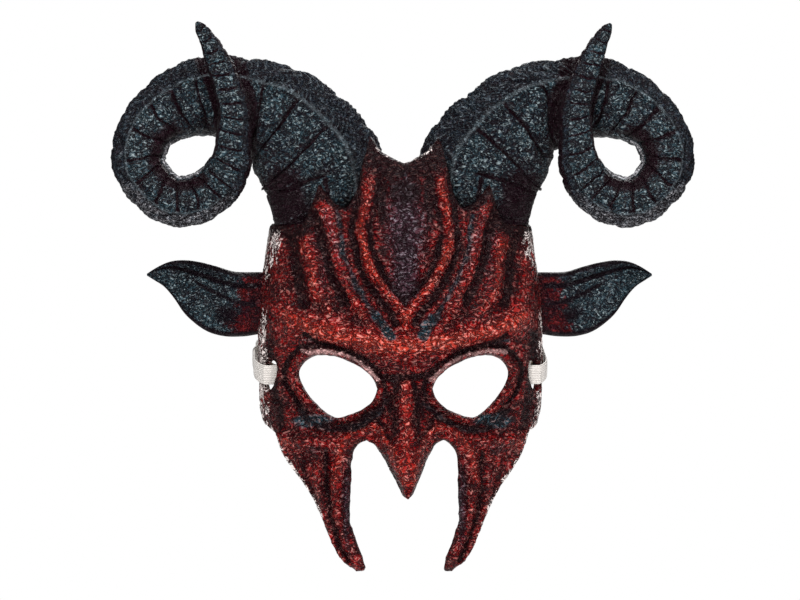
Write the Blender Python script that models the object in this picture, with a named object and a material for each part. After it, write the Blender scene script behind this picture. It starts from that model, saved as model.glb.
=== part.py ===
"""Devil half-mask of lacquered papier-mache: face shell, curled horns, goat ears, pads and an elastic strap.

Lengths are written in millimetres and become metres where a mesh is made. +Z is up and the face looks
towards -Y. The origin lies midway between the eyes, on the wearer's face. "left" is the wearer's left, +X.
"""
import math

import bmesh
import bpy
import numpy as np
from mathutils import Vector
from mathutils.geometry import delaunay_2d_cdt

MM = 0.001

# face shell
WALL = 3.5
NET = 6.5                 # spacing of the shell's facets
SIDE_Y = 34.0             # where the rounded front turns into the straight side walls
QUARTER = 114.0           # sheet length from the middle line to a side wall
HALF_BREADTH = [(-112, 62), (-60, 74), (-35, 80.5), (-15, 85), (0, 86), (35, 86), (60, 84.5),
                (80, 81.5), (100, 79), (125, 77), (150, 74)]
FRONT_Y = [(-112, -6), (-66, -10), (-30, -10), (0, -11), (10, -13), (40, -18), (70, -17), (107, -14),
           (134, -10), (150, -7)]
NOSE_HEIGHT = [(-70, 36), (-60, 32), (-45, 23), (-25, 14), (-10, 8), (5, 4), (16, 0), (150, 0)]
NOSE_WIDTH = 12.0
RIM_SIDE = 16.0           # how far the side walls run back past SIDE_Y
RIM_SLOT = 8.0            # the same beside the strap slots

# crown plate, horns and their fixings
PLATE_TOP = 97.0
TOP_SIDE_Z = PLATE_TOP + 1.0   # top edge of the shell beside the horns
PLATE_THICK = 5.0
PLATE_BACK = 41.0
PLATE_CORNER = 8.0
HORN_SIDE = 75.8          # the horn's line is drawn for this inner half-breadth of the shell
HORN_SEAT = 97.0          # and for a plate at this height
HORN_WALL = 3.0
HORN_STEP = 8.5
HORN_SIDES = 14
HORN_SOLID_BELOW = 9.5    # the horn is solid where its half-width is less than this
PLUG_HEIGHT = 15.0
SCREW_OFFSET = 17.0       # each screw's distance from the horn's root centre, along X
SCREW_SHANK = 1.6
SCREW_HEAD = 3.8
SCREW_HEAD_HEIGHT = 2.4
SCREW_BITE = 11.0         # how far a screw runs into the plug
WASHER_RADIUS = 5.5
WASHER_THICK = 0.9

# ears
EAR_Y = 38.0
EAR_SIDE = 85.3           # the ear's outline is drawn for this half-breadth of the shell
EAR_ROOT_THICK = 14.0
EAR_TIP_THICK = 4.0
EAR_ROOT_LONG = 31.0      # length over which the thick root thins
EAR_HOLLOW = 4.5
EAR_SIDES = 16
PEG_RADIUS = 2.5
PEG_Z = 50.0
PEG_OUT = 8.0             # how far the peg reaches into the ear
PEG_IN = 2.5              # how far it shows inside the shell

# pads
PAD_THICK = 8.0
BROW_PAD_X = 50.0
BROW_PAD_Z = (26.0, 45.0)
CHEEK_PAD = (58.0, -31.0)
CHEEK_PAD_HALF = (11.0, 7.0)

# strap and slider
SLOT_ANGLE = 69.0         # place of the slots round the shell, from the middle line
SLOT_Z = 7.0
SLOT_LONG = 18.0
STRAP_WIDTH = 12.0
STRAP_THICK = 1.5
STRAP_RISE = 15.0         # degrees that the strap climbs towards the back of the head
STRAP_SWING = 20.0        # largest swing away from rest, in degrees
STRAP_STANDOFF = 1.6
LEG_LENGTH = 40.0         # the two legs of each end loop, before they close
LOOP_LENGTH = 48.0
STRAP_BACK = 166.0        # from the slots to the back run
BACK_HALF = 32.0          # half of the straight run at the back
OVERLAP = 28.0            # how far each end runs past the middle
SLIDER_LENGTH = 10.0
SLIDER_BAR = 2.0

# clearances
TOUCH = 0.3               # between pieces that rest on each other
SHELL_CLEAR = 0.9         # between the shell's facets and what follows them
RUN_CLEAR = 0.5           # round what turns or slides


# curves and meshes

def through(knots, value):
    """Smooth curve through (position, height) knots, with slopes from each knot's neighbours."""
    knots = np.array(knots, float)
    at, height = knots[:, 0], knots[:, 1]
    slope = np.gradient(height, at)
    value = np.clip(value, at[0], at[-1])
    i = np.clip(np.searchsorted(at, value) - 1, 0, len(at) - 2)
    span = at[i + 1] - at[i]
    t = (value - at[i]) / span
    rise = height[i] * (1 + 2 * t) * (1 - t) ** 2 + height[i + 1] * t * t * (3 - 2 * t)
    return rise + span * (slope[i] * t * (1 - t) ** 2 - slope[i + 1] * t * t * (1 - t))


def spline(points, step):
    """Catmull-Rom curve through the points, read again every step along its length."""
    points = np.array(points, float)
    ends = np.vstack([2 * points[0] - points[1], points, 2 * points[-1] - points[-2]])
    t = np.linspace(0, 1, 12, endpoint=False)[:, None]
    runs = []
    for a, b, c, d in zip(ends, ends[1:], ends[2:], ends[3:]):
        runs.append(0.5 * (2 * b + (c - a) * t + (2 * a - 5 * b + 4 * c - d) * t ** 2
                           + (3 * b - a - 3 * c + d) * t ** 3))
    runs.append(points[-1:])
    return evenly(np.vstack(runs), step)


def evenly(points, step):
    """The same line, with points spaced by about one step."""
    gaps = np.linalg.norm(np.diff(points, axis=0), axis=1)
    along = np.concatenate([[0], np.cumsum(gaps)])
    count = max(2, round(along[-1] / step) + 1)
    places = np.linspace(0, along[-1], count)
    return np.stack([np.interp(places, along, column) for column in points.T], axis=1)


def inside(points, loop):
    """Which points lie inside a closed loop, by counting the edges to one side of each."""
    x, z = points[:, 0][:, None], points[:, 1][:, None]
    ax, az = loop.T
    bx, bz = np.roll(loop, -1, axis=0).T
    level = np.where(bz == az, 1e-12, bz - az)
    hit = ((az > z) != (bz > z)) & (x < ax + (z - az) * (bx - ax) / level)
    return hit.sum(axis=1) % 2 == 1


def distance(points, line):
    """Distance from each point to the nearest stretch of a line."""
    start, run = line[:-1], np.diff(line, axis=0)
    offset = points[:, None] - start[None]
    t = np.clip((offset * run).sum(-1) / (run * run).sum(-1), 0, 1)
    return np.linalg.norm(offset - t[..., None] * run, axis=-1).min(axis=1)


def triangulate(loops, net):
    """Triangles that fill the first loop outside the others, with a net of inner points if asked."""
    points = np.vstack(loops)
    edges = []
    start = 0
    for loop in loops:
        count = len(loop)
        edges += [(start + i, start + (i + 1) % count) for i in range(count)]
        start += count
    if net:
        low, high = loops[0].min(axis=0), loops[0].max(axis=0)
        rows = np.arange(low[1], high[1], net * math.sqrt(0.75))
        lines = []
        for number, row in enumerate(rows):
            across = np.arange(low[0] + net * (number % 2) / 2, high[0], net)
            lines.append(np.column_stack([across, np.full_like(across, row)]))
        grid = np.vstack(lines)
        keep = inside(grid, loops[0])
        for loop in loops:
            closed = np.vstack([loop, loop[:1]])
            keep &= distance(grid, closed) > 0.55 * net
        for hole in loops[1:]:
            keep &= ~inside(grid, hole)
        points = np.vstack([points, grid[keep]])
    made = delaunay_2d_cdt([Vector(p) for p in points], edges, [], 0, 1e-6)
    spots = np.array([tuple(v) for v in made[0]])
    faces = np.array(made[2])
    middles = spots[faces].mean(axis=1)
    keep = inside(middles, loops[0])
    for hole in loops[1:]:
        keep &= ~inside(middles, hole)
    return spots, faces[keep]


def slab(loops, front, back, net=None):
    """Closed plate over a flat region: one face by each function, and walls along every edge."""
    spots, faces = triangulate(loops, net)
    count = len(spots)
    verts = np.vstack([front(spots), back(spots)])
    sides = {}
    for a, b, c in faces:
        for edge in ((a, b), (b, c), (c, a)):
            sides[tuple(sorted(edge))] = None if tuple(sorted(edge)) in sides else edge
    solid = [tuple(face) for face in faces]
    solid += [(a + count, c + count, b + count) for a, b, c in faces]
    solid += [(b, a, a + count, b + count) for a, b in filter(None, sides.values())]
    return verts, solid


def tube(rings, inner=None):
    """Closed body over a row of rings; inner rings hollow it out from the first ring's end."""
    sides = len(rings[0])
    rows = list(rings) if inner is None else list(inner[::-1]) + list(rings)
    verts = np.vstack(rows)
    faces = []
    for row in range(len(rows) - 1):
        for i in range(sides):
            j = (i + 1) % sides
            low, high = row * sides, (row + 1) * sides
            faces.append((low + i, low + j, high + j, high + i))
    faces.append(tuple(range(sides)))
    faces.append(tuple(reversed(range(len(verts) - sides, len(verts)))))
    return verts, faces


def add(name, solid, finish, origin=(0, 0, 0), parent=None):
    """One named object with its own material, its faces turned outwards and its place at origin."""
    verts, faces = solid
    mesh = bpy.data.meshes.new(name)
    local = (np.asarray(verts, float) - np.array(origin)) * MM
    mesh.from_pydata([tuple(v) for v in local], [], [tuple(int(i) for i in face) for face in faces])
    work = bmesh.new()
    work.from_mesh(mesh)
    bmesh.ops.delete(work, geom=[v for v in work.verts if not v.link_faces], context='VERTS')
    bmesh.ops.triangulate(work, faces=work.faces[:])
    bmesh.ops.recalc_face_normals(work, faces=work.faces[:])
    work.to_mesh(mesh)
    work.free()
    mesh.shade_smooth()
    mesh.set_sharp_from_angle(angle=math.radians(35))
    colour, roughness, metallic = finish
    material = bpy.data.materials.new(name + "_finish")
    material.use_nodes = True
    shader = material.node_tree.nodes["Principled BSDF"]
    shader.inputs["Base Color"].default_value = (*colour, 1)
    shader.inputs["Roughness"].default_value = roughness
    shader.inputs["Metallic"].default_value = metallic
    mesh.materials.append(material)
    thing = bpy.data.objects.new(name, mesh)
    bpy.context.collection.objects.link(thing)
    thing.parent = parent
    base = np.array(parent.location) if parent else np.zeros(3)
    thing.location = np.array(origin) * MM - base
    return thing


def cut(target, cutter_solid, name):
    """Takes a cutter's shape out of a piece."""
    cutter = add(name, cutter_solid, FINISH["wood"])
    cutter.hide_render = True
    cutter.display_type = 'WIRE'
    hole = target.modifiers.new(name, 'BOOLEAN')
    hole.operation = 'DIFFERENCE'
    hole.object = cutter


def rod(start, end, radius, sides=16):
    """Round bar between two points that lie along X or Z."""
    start, end = np.array(start, float), np.array(end, float)
    turn = np.linspace(0, 2 * np.pi, sides, endpoint=False)
    along = np.abs(end - start).argmax()
    ring = np.zeros((sides, 3))
    ring[:, (along + 1) % 3] = radius * np.cos(turn)
    ring[:, (along + 2) % 3] = radius * np.sin(turn)
    return tube([start + ring, end + ring])


def circle(centre, radius, sides=14):
    """Closed round loop in a flat region; two radii make an ellipse."""
    turn = np.linspace(0, 2 * np.pi, sides, endpoint=False)
    return np.array(centre) + np.stack([np.cos(turn), np.sin(turn)], axis=1) * radius


FINISH = {
    "red_skin": ((0.30, 0.018, 0.012), 0.35, 0.0),
    "slate_horn": ((0.028, 0.045, 0.065), 0.4, 0.0),
    "slate_ear": ((0.03, 0.06, 0.08), 0.4, 0.0),
    "board": ((0.42, 0.33, 0.22), 0.8, 0.0),
    "wood": ((0.45, 0.30, 0.16), 0.7, 0.0),
    "steel": ((0.55, 0.55, 0.56), 0.35, 1.0),
    "foam": ((0.05, 0.05, 0.055), 0.95, 0.0),
    "elastic": ((0.72, 0.70, 0.66), 0.85, 0.0),
    "slider": ((0.75, 0.73, 0.69), 0.45, 0.0),
}


# the shell's surface

# raised lines (+) and sunk lines (-) of the left half: points, height, half-width
RELIEF = [
    ([(20, 124), (25, 104), (24.5, 82), (13, 60), (2, 46), (0, 36)], 4.5, 4.0),
    ([(52, 122), (44, 95), (36, 63), (20, 36)], 3.0, 4.5),
    ([(57, 86), (53, 56), (45, 48)], 2.5, 4.5),
    ([(70, 41), (56, 36), (40, 31), (25, 27), (0, 24)], 8.0, 8.0),
    ([(54, 27), (35, 20), (14, 7)], -2.5, 4.5),
    ([(70, -30), (60, -34), (46, -34)], 4.5, 8.0),
    ([(54, -22), (40, -26), (26, -22), (16, -16)], -2.5, 4.5),
    ([(40, -38), (33, -28), (23.5, -24), (14.4, -25), (7, -34)], 3.5, 4.0),
    ([(46, -40), (48, -60), (40, -85), (33, -104)], 3.0, 6.0),
]


def half_breadth(z):
    return through(HALF_BREADTH, z)


def nose(x, z):
    """Beak: a ridge on the middle line that grows towards its tip."""
    return through(NOSE_HEIGHT, z) * np.exp(-(x / NOSE_WIDTH) ** 2)


def relief(x, z):
    """Height of the ridges and hollows over the smooth shell, always less than the wall when sunk."""
    at = np.stack([np.abs(x), z], axis=1)
    height = np.zeros(len(at))
    for points, rise, reach in RELIEF:
        away = distance(at, np.array(points, float))
        height += rise * np.exp(-(away / reach) ** 2)
    return np.maximum(height, -0.4 * WALL)


def shell_point(spots, depth=0.0, carved=True):
    """Place on the shell for (sheet position, height): an ellipse round the face, then straight back."""
    u, z = spots.T
    breadth = half_breadth(z)
    deep = SIDE_Y - through(FRONT_Y, z)
    turn = np.clip(np.abs(u) / QUARTER, 0, 1) * np.pi / 2
    back = np.maximum(np.abs(u) - QUARTER, 0)
    x = np.sign(u) * (breadth - depth) * np.sin(turn)
    fade = np.clip(np.cos(turn) / 0.35, 0, 1)
    forward = nose(x, z)
    if depth:
        slope = 2 * x / NOSE_WIDTH ** 2 * forward
        forward = forward - depth * (np.sqrt(1 + slope ** 2) - 1)
    if carved and not depth:
        forward = forward + relief(x, z)
    y = SIDE_Y - (deep - depth) * np.cos(turn) - forward * fade + back
    return np.stack([x, y, z], axis=1)


def sheet(points):
    """Sheet positions of points given as the front view shows them, (x, z)."""
    points = np.array(points, float)
    share = np.clip(points[:, 0] / half_breadth(points[:, 1]), -1, 1)
    return np.stack([QUARTER * np.arcsin(share) / (np.pi / 2), points[:, 1]], axis=1)


def side_x(y, depth=0.0):
    """Distance of the shell from the middle plane at depth y, level with the slots."""
    breadth, deep = half_breadth(SLOT_Z) - depth, SIDE_Y - through(FRONT_Y, SLOT_Z) - depth
    share = np.clip((SIDE_Y - np.asarray(y, float)) / deep, 0, 1)
    return breadth * np.sqrt(1 - share ** 2)


def mirrored(half):
    """Whole outline from its left half, which starts and ends on the middle line."""
    other = half[1:-1][::-1] * (-1, 1)
    return np.vstack([half, other])


def shell_outline():
    """Edge of the sheet: tongues over the horn roots, side rim, cheek, prong, notch and nose tip."""
    back = QUARTER + RIM_SIDE
    tongues = [[(0, 36), (11, 40), (21.5, 48)],
               [(21.5, 48), (26, 33), (30, 17), (36, 9), (43, 13), (49, 21), (54, 29)],
               [(54, 29), (57, 14), (61, 1), (68, 0), (74, 0)]]
    runs = [sheet(np.array(run) + (0, TOP_SIDE_Z)) for run in tongues]
    runs += [
        np.array([(sheet([(74, TOP_SIDE_Z)])[0, 0], TOP_SIDE_Z), (QUARTER + RIM_SLOT, TOP_SIDE_Z - 1),
                  (back, 78), (back, 55), (back, 34), (QUARTER + RIM_SLOT, 16),
                  (QUARTER + RIM_SLOT - 1, -4), (QUARTER - 1, -20), (sheet([(77, -28)])[0, 0], -28)]),
        sheet([(77, -28), (74, -38), (68, -48.6), (60.5, -59), (54, -70), (49.5, -80), (45.5, -90),
               (40.5, -100), (35, -107), (29, -111)]),
        sheet([(29, -111), (25, -110), (25.5, -104), (29, -95), (34, -79), (33.5, -58), (32.5, -42),
               (28, -34), (23.4, -31.5)]),
        sheet([(23.4, -31.5), (18, -35), (9, -51), (0, -66)]),
    ]
    half = [spline(run, NET * 0.95)[:-1] for run in runs]
    return mirrored(np.vstack(half + [runs[-1][-1:]]))


def slot_centre():
    """Sheet position of the left slot, and its place in plan halfway through the wall."""
    u = QUARTER * SLOT_ANGLE / 90
    spot = np.array([[u, SLOT_Z]])
    middle = (shell_point(spot, carved=False) + shell_point(spot, WALL, carved=False))[0] / 2
    return u, middle


def slot_loop():
    """Round-ended slot, leaning with the strap and wide enough for the strap to swing in it."""
    u, _ = slot_centre()
    near = shell_point(np.array([[u - 1, SLOT_Z], [u + 1, SLOT_Z]]), carved=False)
    back_per_u = (near[1, 1] - near[0, 1]) / 2
    lean = math.radians(STRAP_RISE)
    swing = math.radians(STRAP_SWING)
    reach = STRAP_WIDTH / 2 * math.sin(swing) + STRAP_THICK / 2 + SHELL_CLEAR
    slant = WALL * math.cos(math.radians(SLOT_ANGLE))
    half = reach + slant
    corners = circle((0, 0), (half, SLOT_LONG / 2), 18)
    corners[:, 0] = half * np.sign(corners[:, 0]) * np.abs(corners[:, 0] / half) ** 0.4
    back = corners[:, 0] * math.cos(lean) - corners[:, 1] * math.sin(lean)
    up = corners[:, 0] * math.sin(lean) + corners[:, 1] * math.cos(lean)
    return np.stack([u + back / back_per_u, SLOT_Z + up], axis=1)


EYE = [(17, -1), (21, -10), (28.5, -14.5), (40, -18.3), (47.5, -16), (56, -8.3), (62, -0.5), (65, 8.7),
       (61.5, 15), (55, 18.7), (45, 18.7), (35, 15.7), (26, 11), (19.5, 6), (17, -1)]


def face_shell():
    eye = spline(sheet(EYE), NET * 0.8)[:-1]
    peg_hole = circle((QUARTER + EAR_Y - SIDE_Y, PEG_Z), PEG_RADIUS + TOUCH, 12)
    holes = []
    for loop in (eye, slot_loop(), peg_hole):
        holes += [loop, loop * (-1, 1)]
    solid = slab([shell_outline()] + holes, shell_point, lambda p: shell_point(p, WALL), NET)
    add("face_shell", solid, FINISH["red_skin"])


# crown plate, horns and fixings

# centre line of the left horn: x, y, z, half-width in the front view, half-depth
HORN = [
    (42, 25, 97.3, 28.5, 14.5), (45.5, 26, 113, 33, 16), (52, 25.5, 133, 34, 17), (62, 24, 150, 33, 18),
    (76, 22, 165, 29, 18), (97.5, 20, 173, 26, 18), (114, 18, 174.6, 25, 17), (128, 15, 172.5, 23.5, 16),
    (143, 11, 165, 20.5, 15), (154.5, 7, 153.6, 18, 14), (159, 3, 137.4, 17.4, 13.5),
    (155, 0, 125.4, 16.5, 13), (142.5, -3, 113.4, 16.2, 13), (129.3, -5, 111.6, 16.3, 13),
    (115, -7, 118, 15.5, 12), (105.3, -9, 131.4, 14, 11), (103, -10, 144.6, 12, 10),
    (102.3, -10, 165, 10.8, 9), (106.5, -8, 181, 9.8, 8), (112, -5, 195, 8.8, 6.5),
    (117.3, -3, 207, 6.8, 5), (125, -1, 219.6, 2, 1.5),
]


def horn_line():
    """Left horn's centre line and half-sizes, moved with the plate's top and the shell's inner face.

    In a wider shell the root keeps its share of the breadth, clear of the front; in a narrower one it keeps
    its gap to the side.
    """
    path = spline(HORN, HORN_STEP)
    room = half_breadth(PLATE_TOP) - WALL - HORN_SIDE
    path[:, 0] += min(room, room * HORN[0][0] / HORN_SIDE)
    path[:, 2] += PLATE_TOP - HORN_SEAT
    return path


def horn_rings(side, inset=0.0, root=PLATE_TOP + TOUCH):
    """Oval sections across the horn's centre line; the first one is level, to stand on the plate."""
    path = horn_line()
    run = np.gradient(path[:, :3], axis=0)
    run[0] = (0, 0, 1)
    flat = np.stack([run[:, 0], run[:, 2]], axis=1)
    flat /= np.linalg.norm(flat, axis=1)[:, None]
    across = np.stack([flat[:, 1], np.zeros(len(flat)), -flat[:, 0]], axis=1)
    turn = np.linspace(0, 2 * np.pi, HORN_SIDES, endpoint=False)
    wide = (path[:, 3] - inset)[:, None, None] * np.cos(turn)[None, :, None] * across[:, None]
    deep = (path[:, 4] - inset)[:, None, None] * np.sin(turn)[None, :, None] * np.array([0, 1, 0])
    rings = path[:, None, :3] + wide + deep
    rings[0, :, 2] = root
    rings[1:, :, 2] = np.maximum(rings[1:, :, 2], root + 1)
    return rings * (side, 1, 1), path


def horn(name, side):
    outer, path = horn_rings(side)
    hollow = int((path[:, 3] > HORN_SOLID_BELOW + HORN_WALL).sum())
    inner, _ = horn_rings(side, HORN_WALL)
    add("horn_" + name, tube(outer, inner[:hollow]), FINISH["slate_horn"])


def plug(name, side):
    """Wooden block that fills the root of the horn and takes its two screws."""
    rings, path = horn_rings(side, HORN_WALL + 2 * TOUCH)
    count = 1 + int(round(PLUG_HEIGHT / HORN_STEP))
    block = rings[:count].copy()
    block[-1, :, 2] = PLATE_TOP + TOUCH + PLUG_HEIGHT
    block[-1, :, :2] = (block[0, :, :2] + block[-1, :, :2]) / 2
    if count > 2:
        block = block[[0, -1]]
    piece = add("horn_plug_" + name, tube(block), FINISH["wood"])
    for number, (x, y) in enumerate(screw_places(side), 1):
        hole = rod((x, y, PLATE_TOP - 2), (x, y, PLATE_TOP + SCREW_BITE + 1.5), SCREW_SHANK + TOUCH, 12)
        cut(piece, hole, f"screw_hole_{name}_{number}")


def screw_places(side):
    root = horn_line()[0]
    return [(side * (root[0] + offset), root[1]) for offset in (-SCREW_OFFSET, SCREW_OFFSET)]


def fixings(name, side):
    """Two screws and washers under the plate, one of each near each end of the plug."""
    underside = PLATE_TOP - PLATE_THICK
    washer_top = underside - TOUCH
    washer_bottom = washer_top - WASHER_THICK
    head_top = washer_bottom - TOUCH
    for number, (x, y) in enumerate(screw_places(side), 1):
        def level(z):
            return lambda spots: np.column_stack([spots + (x, y), np.full(len(spots), z)])

        loops = [circle((0, 0), WASHER_RADIUS, 20), circle((0, 0), SCREW_SHANK + TOUCH, 12)]
        add(f"horn_washer_{name}_{number}", slab(loops, level(washer_top), level(washer_bottom)),
            FINISH["steel"])
        turn = np.linspace(0, 2 * np.pi, 16, endpoint=False)
        round_ring = np.stack([np.cos(turn), np.sin(turn), np.zeros(16)], axis=1)
        profile = [(SCREW_HEAD * 0.6, head_top - SCREW_HEAD_HEIGHT), (SCREW_HEAD, head_top - 0.9),
                   (SCREW_HEAD, head_top), (SCREW_SHANK, head_top),
                   (SCREW_SHANK, PLATE_TOP + SCREW_BITE - 2), (0.3, PLATE_TOP + SCREW_BITE)]
        rings = [round_ring * radius + (x, y, z) for radius, z in profile]
        add(f"horn_screw_{name}_{number}", tube(rings), FINISH["steel"])


def crown_plate():
    """Level shelf that fills the top of the shell, cut to its inner face, with a hole for each screw."""
    xs = np.linspace(0, 1, 15)
    levels = (PLATE_TOP, PLATE_TOP - PLATE_THICK)
    u = xs * QUARTER
    fronts = [shell_point(np.stack([u, np.full_like(u, z)], axis=1), WALL + SHELL_CLEAR) for z in levels]
    breadth = min(front[-1, 0] for front in fronts)
    x = np.minimum(fronts[0][:, 0], fronts[1][:, 0])
    y = np.maximum(fronts[0][:, 1], fronts[1][:, 1])
    edge = [np.stack([x, y], axis=1)]
    turn = np.linspace(0, np.pi / 2, 5)
    corner = np.stack([breadth - PLATE_CORNER + PLATE_CORNER * np.cos(turn),
                       PLATE_BACK - PLATE_CORNER + PLATE_CORNER * np.sin(turn)], axis=1)
    if corner[0, 1] - y[-1] < 1:
        edge[0] = edge[0][y < corner[0, 1] - 1]
    half = np.vstack(edge + [corner, [(0, PLATE_BACK)]])
    holes = []
    for side in (1, -1):
        holes += [circle(place, SCREW_SHANK + 2 * TOUCH, 12) for place in screw_places(side)]

    def level(z):
        return lambda spots: np.column_stack([spots, np.full(len(spots), z)])

    add("crown_plate", slab([mirrored(half)] + holes, level(levels[0]), level(levels[1])), FINISH["board"])


# ears

EAR_TOP = [(84, 68.7), (91, 68.7), (101.4, 68.6), (111.6, 71.4), (121.8, 73.8), (132, 75), (140.4, 73.8),
           (153, 67.4)]
EAR_BOTTOM = [(84, 31.5), (96, 30), (109.5, 30.2), (116.7, 32.4), (124.8, 37.6), (132, 44.6),
              (137.4, 52.8), (142.8, 58.8), (150, 63), (153, 66.6)]
EAR_STATIONS = (84, 89, 94, 100, 107, 114, 121, 128, 134, 139, 144, 149, 153)


def ear(name, side):
    """Pointed leaf with a hollow front; its root takes the shell's curve and the peg."""
    turn = np.linspace(0, 2 * np.pi, EAR_SIDES, endpoint=False)
    out = half_breadth(PEG_Z) - EAR_SIDE
    rings = []
    for x in EAR_STATIONS:
        top, bottom = through(EAR_TOP, x), through(EAR_BOTTOM, x)
        thin = min(1.0, (top - bottom) / 14)
        root_share = max(0, 1 - (x - EAR_STATIONS[0]) / EAR_ROOT_LONG)
        thick = (EAR_TIP_THICK + (EAR_ROOT_THICK - EAR_TIP_THICK) * root_share) * thin
        hollow = EAR_HOLLOW * (1 - min(1, 1.4 * root_share)) * thin
        z = (top + bottom) / 2 + (top - bottom) / 2 * np.cos(turn)
        y = EAR_Y + thick / 2 * np.sin(turn) + hollow * (np.sin(turn) ** 2 - 0.5)
        rings.append(np.stack([np.full(EAR_SIDES, x + out), y, z], axis=1))
    root = rings[0]
    breadth = half_breadth(root[:, 2])
    share = np.clip((SIDE_Y - root[:, 1]) / (SIDE_Y - through(FRONT_Y, root[:, 2])), 0, 1)
    root[:, 0] = breadth * np.sqrt(1 - share ** 2) + TOUCH
    turned = [ring * (side, 1, 1) for ring in rings]
    piece = add("ear_" + name, tube(turned), FINISH["slate_ear"])
    wall = half_breadth(PEG_Z)
    hole_end = wall + PEG_OUT + 1
    cut(piece, rod((side * (wall - 6), EAR_Y, PEG_Z), (side * hole_end, EAR_Y, PEG_Z), PEG_RADIUS + TOUCH),
        "peg_hole_" + name)
    add("ear_peg_" + name, rod((side * (wall - WALL - PEG_IN), EAR_Y, PEG_Z),
                               (side * (wall + PEG_OUT), EAR_Y, PEG_Z), PEG_RADIUS), FINISH["wood"])


# pads

def pad(name, loop, net):
    """Foam that follows the shell's inner face."""
    near = WALL + SHELL_CLEAR
    add(name, slab([loop], lambda p: shell_point(p, near), lambda p: shell_point(p, near + PAD_THICK), net),
        FINISH["foam"])


def pads():
    low, high = BROW_PAD_Z
    round_end = (high - low) / 2
    turn = np.linspace(-np.pi / 2, np.pi / 2, 7)
    ends = np.stack([BROW_PAD_X - round_end + round_end * np.cos(turn),
                     (low + high) / 2 + round_end * np.sin(turn)], axis=1)
    half = sheet(np.vstack([[(0, low)], [(BROW_PAD_X / 3, low)], ends, [(BROW_PAD_X / 3, high)], [(0, high)]]))
    pad("brow_pad", mirrored(half), 9.0)
    for name, side in (("left", 1), ("right", -1)):
        loop = sheet(circle(CHEEK_PAD, CHEEK_PAD_HALF, 16)) * (side, 1)
        pad("cheek_pad_" + name, loop, 7.0)


# strap and slider

def strap_loops(extra):
    """Plan of one half of the strap: an end loop through the slot, then round the head to the back run."""
    _, pivot = slot_centre()
    lean = math.cos(math.radians(STRAP_RISE))
    legs = np.linspace(0, LEG_LENGTH, 9)
    plan_y = pivot[1] + legs * lean
    outer = side_x(plan_y) + STRAP_STANDOFF
    inner = side_x(plan_y, WALL) - STRAP_STANDOFF
    outer[0] += 0.8
    half = STRAP_THICK / 2
    middle = (outer[-1] + inner[-1]) / 2
    start = np.copy(legs)
    start[0] = half
    hole = np.vstack([np.stack([outer, start], axis=1), [(middle, LOOP_LENGTH - 3)],
                      np.stack([inner, start], axis=1)[::-1]])
    turn = np.linspace(0, np.pi / 2, 19)
    back = STRAP_BACK + extra
    path = np.stack([BACK_HALF + (middle - BACK_HALF) * np.cos(turn),
                     LOOP_LENGTH + (back - LOOP_LENGTH) * np.sin(turn)], axis=1)
    path = np.vstack([path, [(0, back)], [(-OVERLAP, back)]])
    run = np.gradient(path, axis=0)
    run /= np.linalg.norm(run, axis=1)[:, None]
    sideways = np.stack([run[:, 1], -run[:, 0]], axis=1) * half
    start[0] = -half
    far = np.stack([outer + STRAP_THICK, start], axis=1)
    near = np.stack([inner - STRAP_THICK, start], axis=1)
    outline = np.vstack([far, path + sideways, (path - sideways)[::-1], near[::-1]])
    return [outline, hole], pivot


def strap_place(pivot, side, height):
    """Turns the strap's plan onto its plane, which climbs from the slots to the back of the head."""
    rise = math.radians(STRAP_RISE)

    def place(spots):
        x, along = spots.T
        y = pivot[1] + along * math.cos(rise) - height * math.sin(rise)
        z = SLOT_Z + along * math.sin(rise) + height * math.cos(rise)
        return np.stack([side * x, y, z], axis=1)
    return place


def strap():
    """Two elastic halves on a swinging frame, and the slider that runs along their overlap."""
    loops, pivot = strap_loops(0.0)
    frame = bpy.data.objects.new("strap_frame", None)
    frame.location = np.array((0, pivot[1], SLOT_Z)) * MM
    bpy.context.collection.objects.link(frame)
    origin = (0, pivot[1], SLOT_Z)
    half = STRAP_WIDTH / 2
    layer = STRAP_THICK + RUN_CLEAR
    for name, side, extra in (("left", 1, 0.0), ("right", -1, layer)):
        loops, pivot = strap_loops(extra)
        solid = slab(loops, strap_place(pivot, side, half), strap_place(pivot, side, -half))
        add("strap_" + name, solid, FINISH["elastic"], origin, frame)
    middle = STRAP_BACK + layer / 2
    hole = np.array([(layer / 2 + STRAP_THICK / 2 + RUN_CLEAR), half + RUN_CLEAR])
    corners = np.array([(-1, -1), (1, -1), (1, 1), (-1, 1)], float)
    rings = [corners * (hole + SLIDER_BAR), corners * hole]
    rise = math.radians(STRAP_RISE)

    def end(x):
        def place(spots):
            along, up = middle + spots[:, 0], spots[:, 1]
            y = pivot[1] + along * math.cos(rise) - up * math.sin(rise)
            z = SLOT_Z + along * math.sin(rise) + up * math.cos(rise)
            return np.stack([np.full(len(spots), x), y, z], axis=1)
        return place

    slide_origin = tuple(end(0.0)(np.zeros((1, 2)))[0])
    add("strap_slider", slab(rings, end(SLIDER_LENGTH / 2), end(-SLIDER_LENGTH / 2)), FINISH["slider"],
        slide_origin, frame)


def build():
    for old in list(bpy.data.objects):
        bpy.data.objects.remove(old)
    face_shell()
    crown_plate()
    for name, side in (("left", 1), ("right", -1)):
        horn(name, side)
        plug(name, side)
        fixings(name, side)
        ear(name, side)
    pads()
    strap()


build()
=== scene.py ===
import math

import bpy
import numpy as np
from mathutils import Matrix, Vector
from mathutils.geometry import delaunay_2d_cdt


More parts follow.
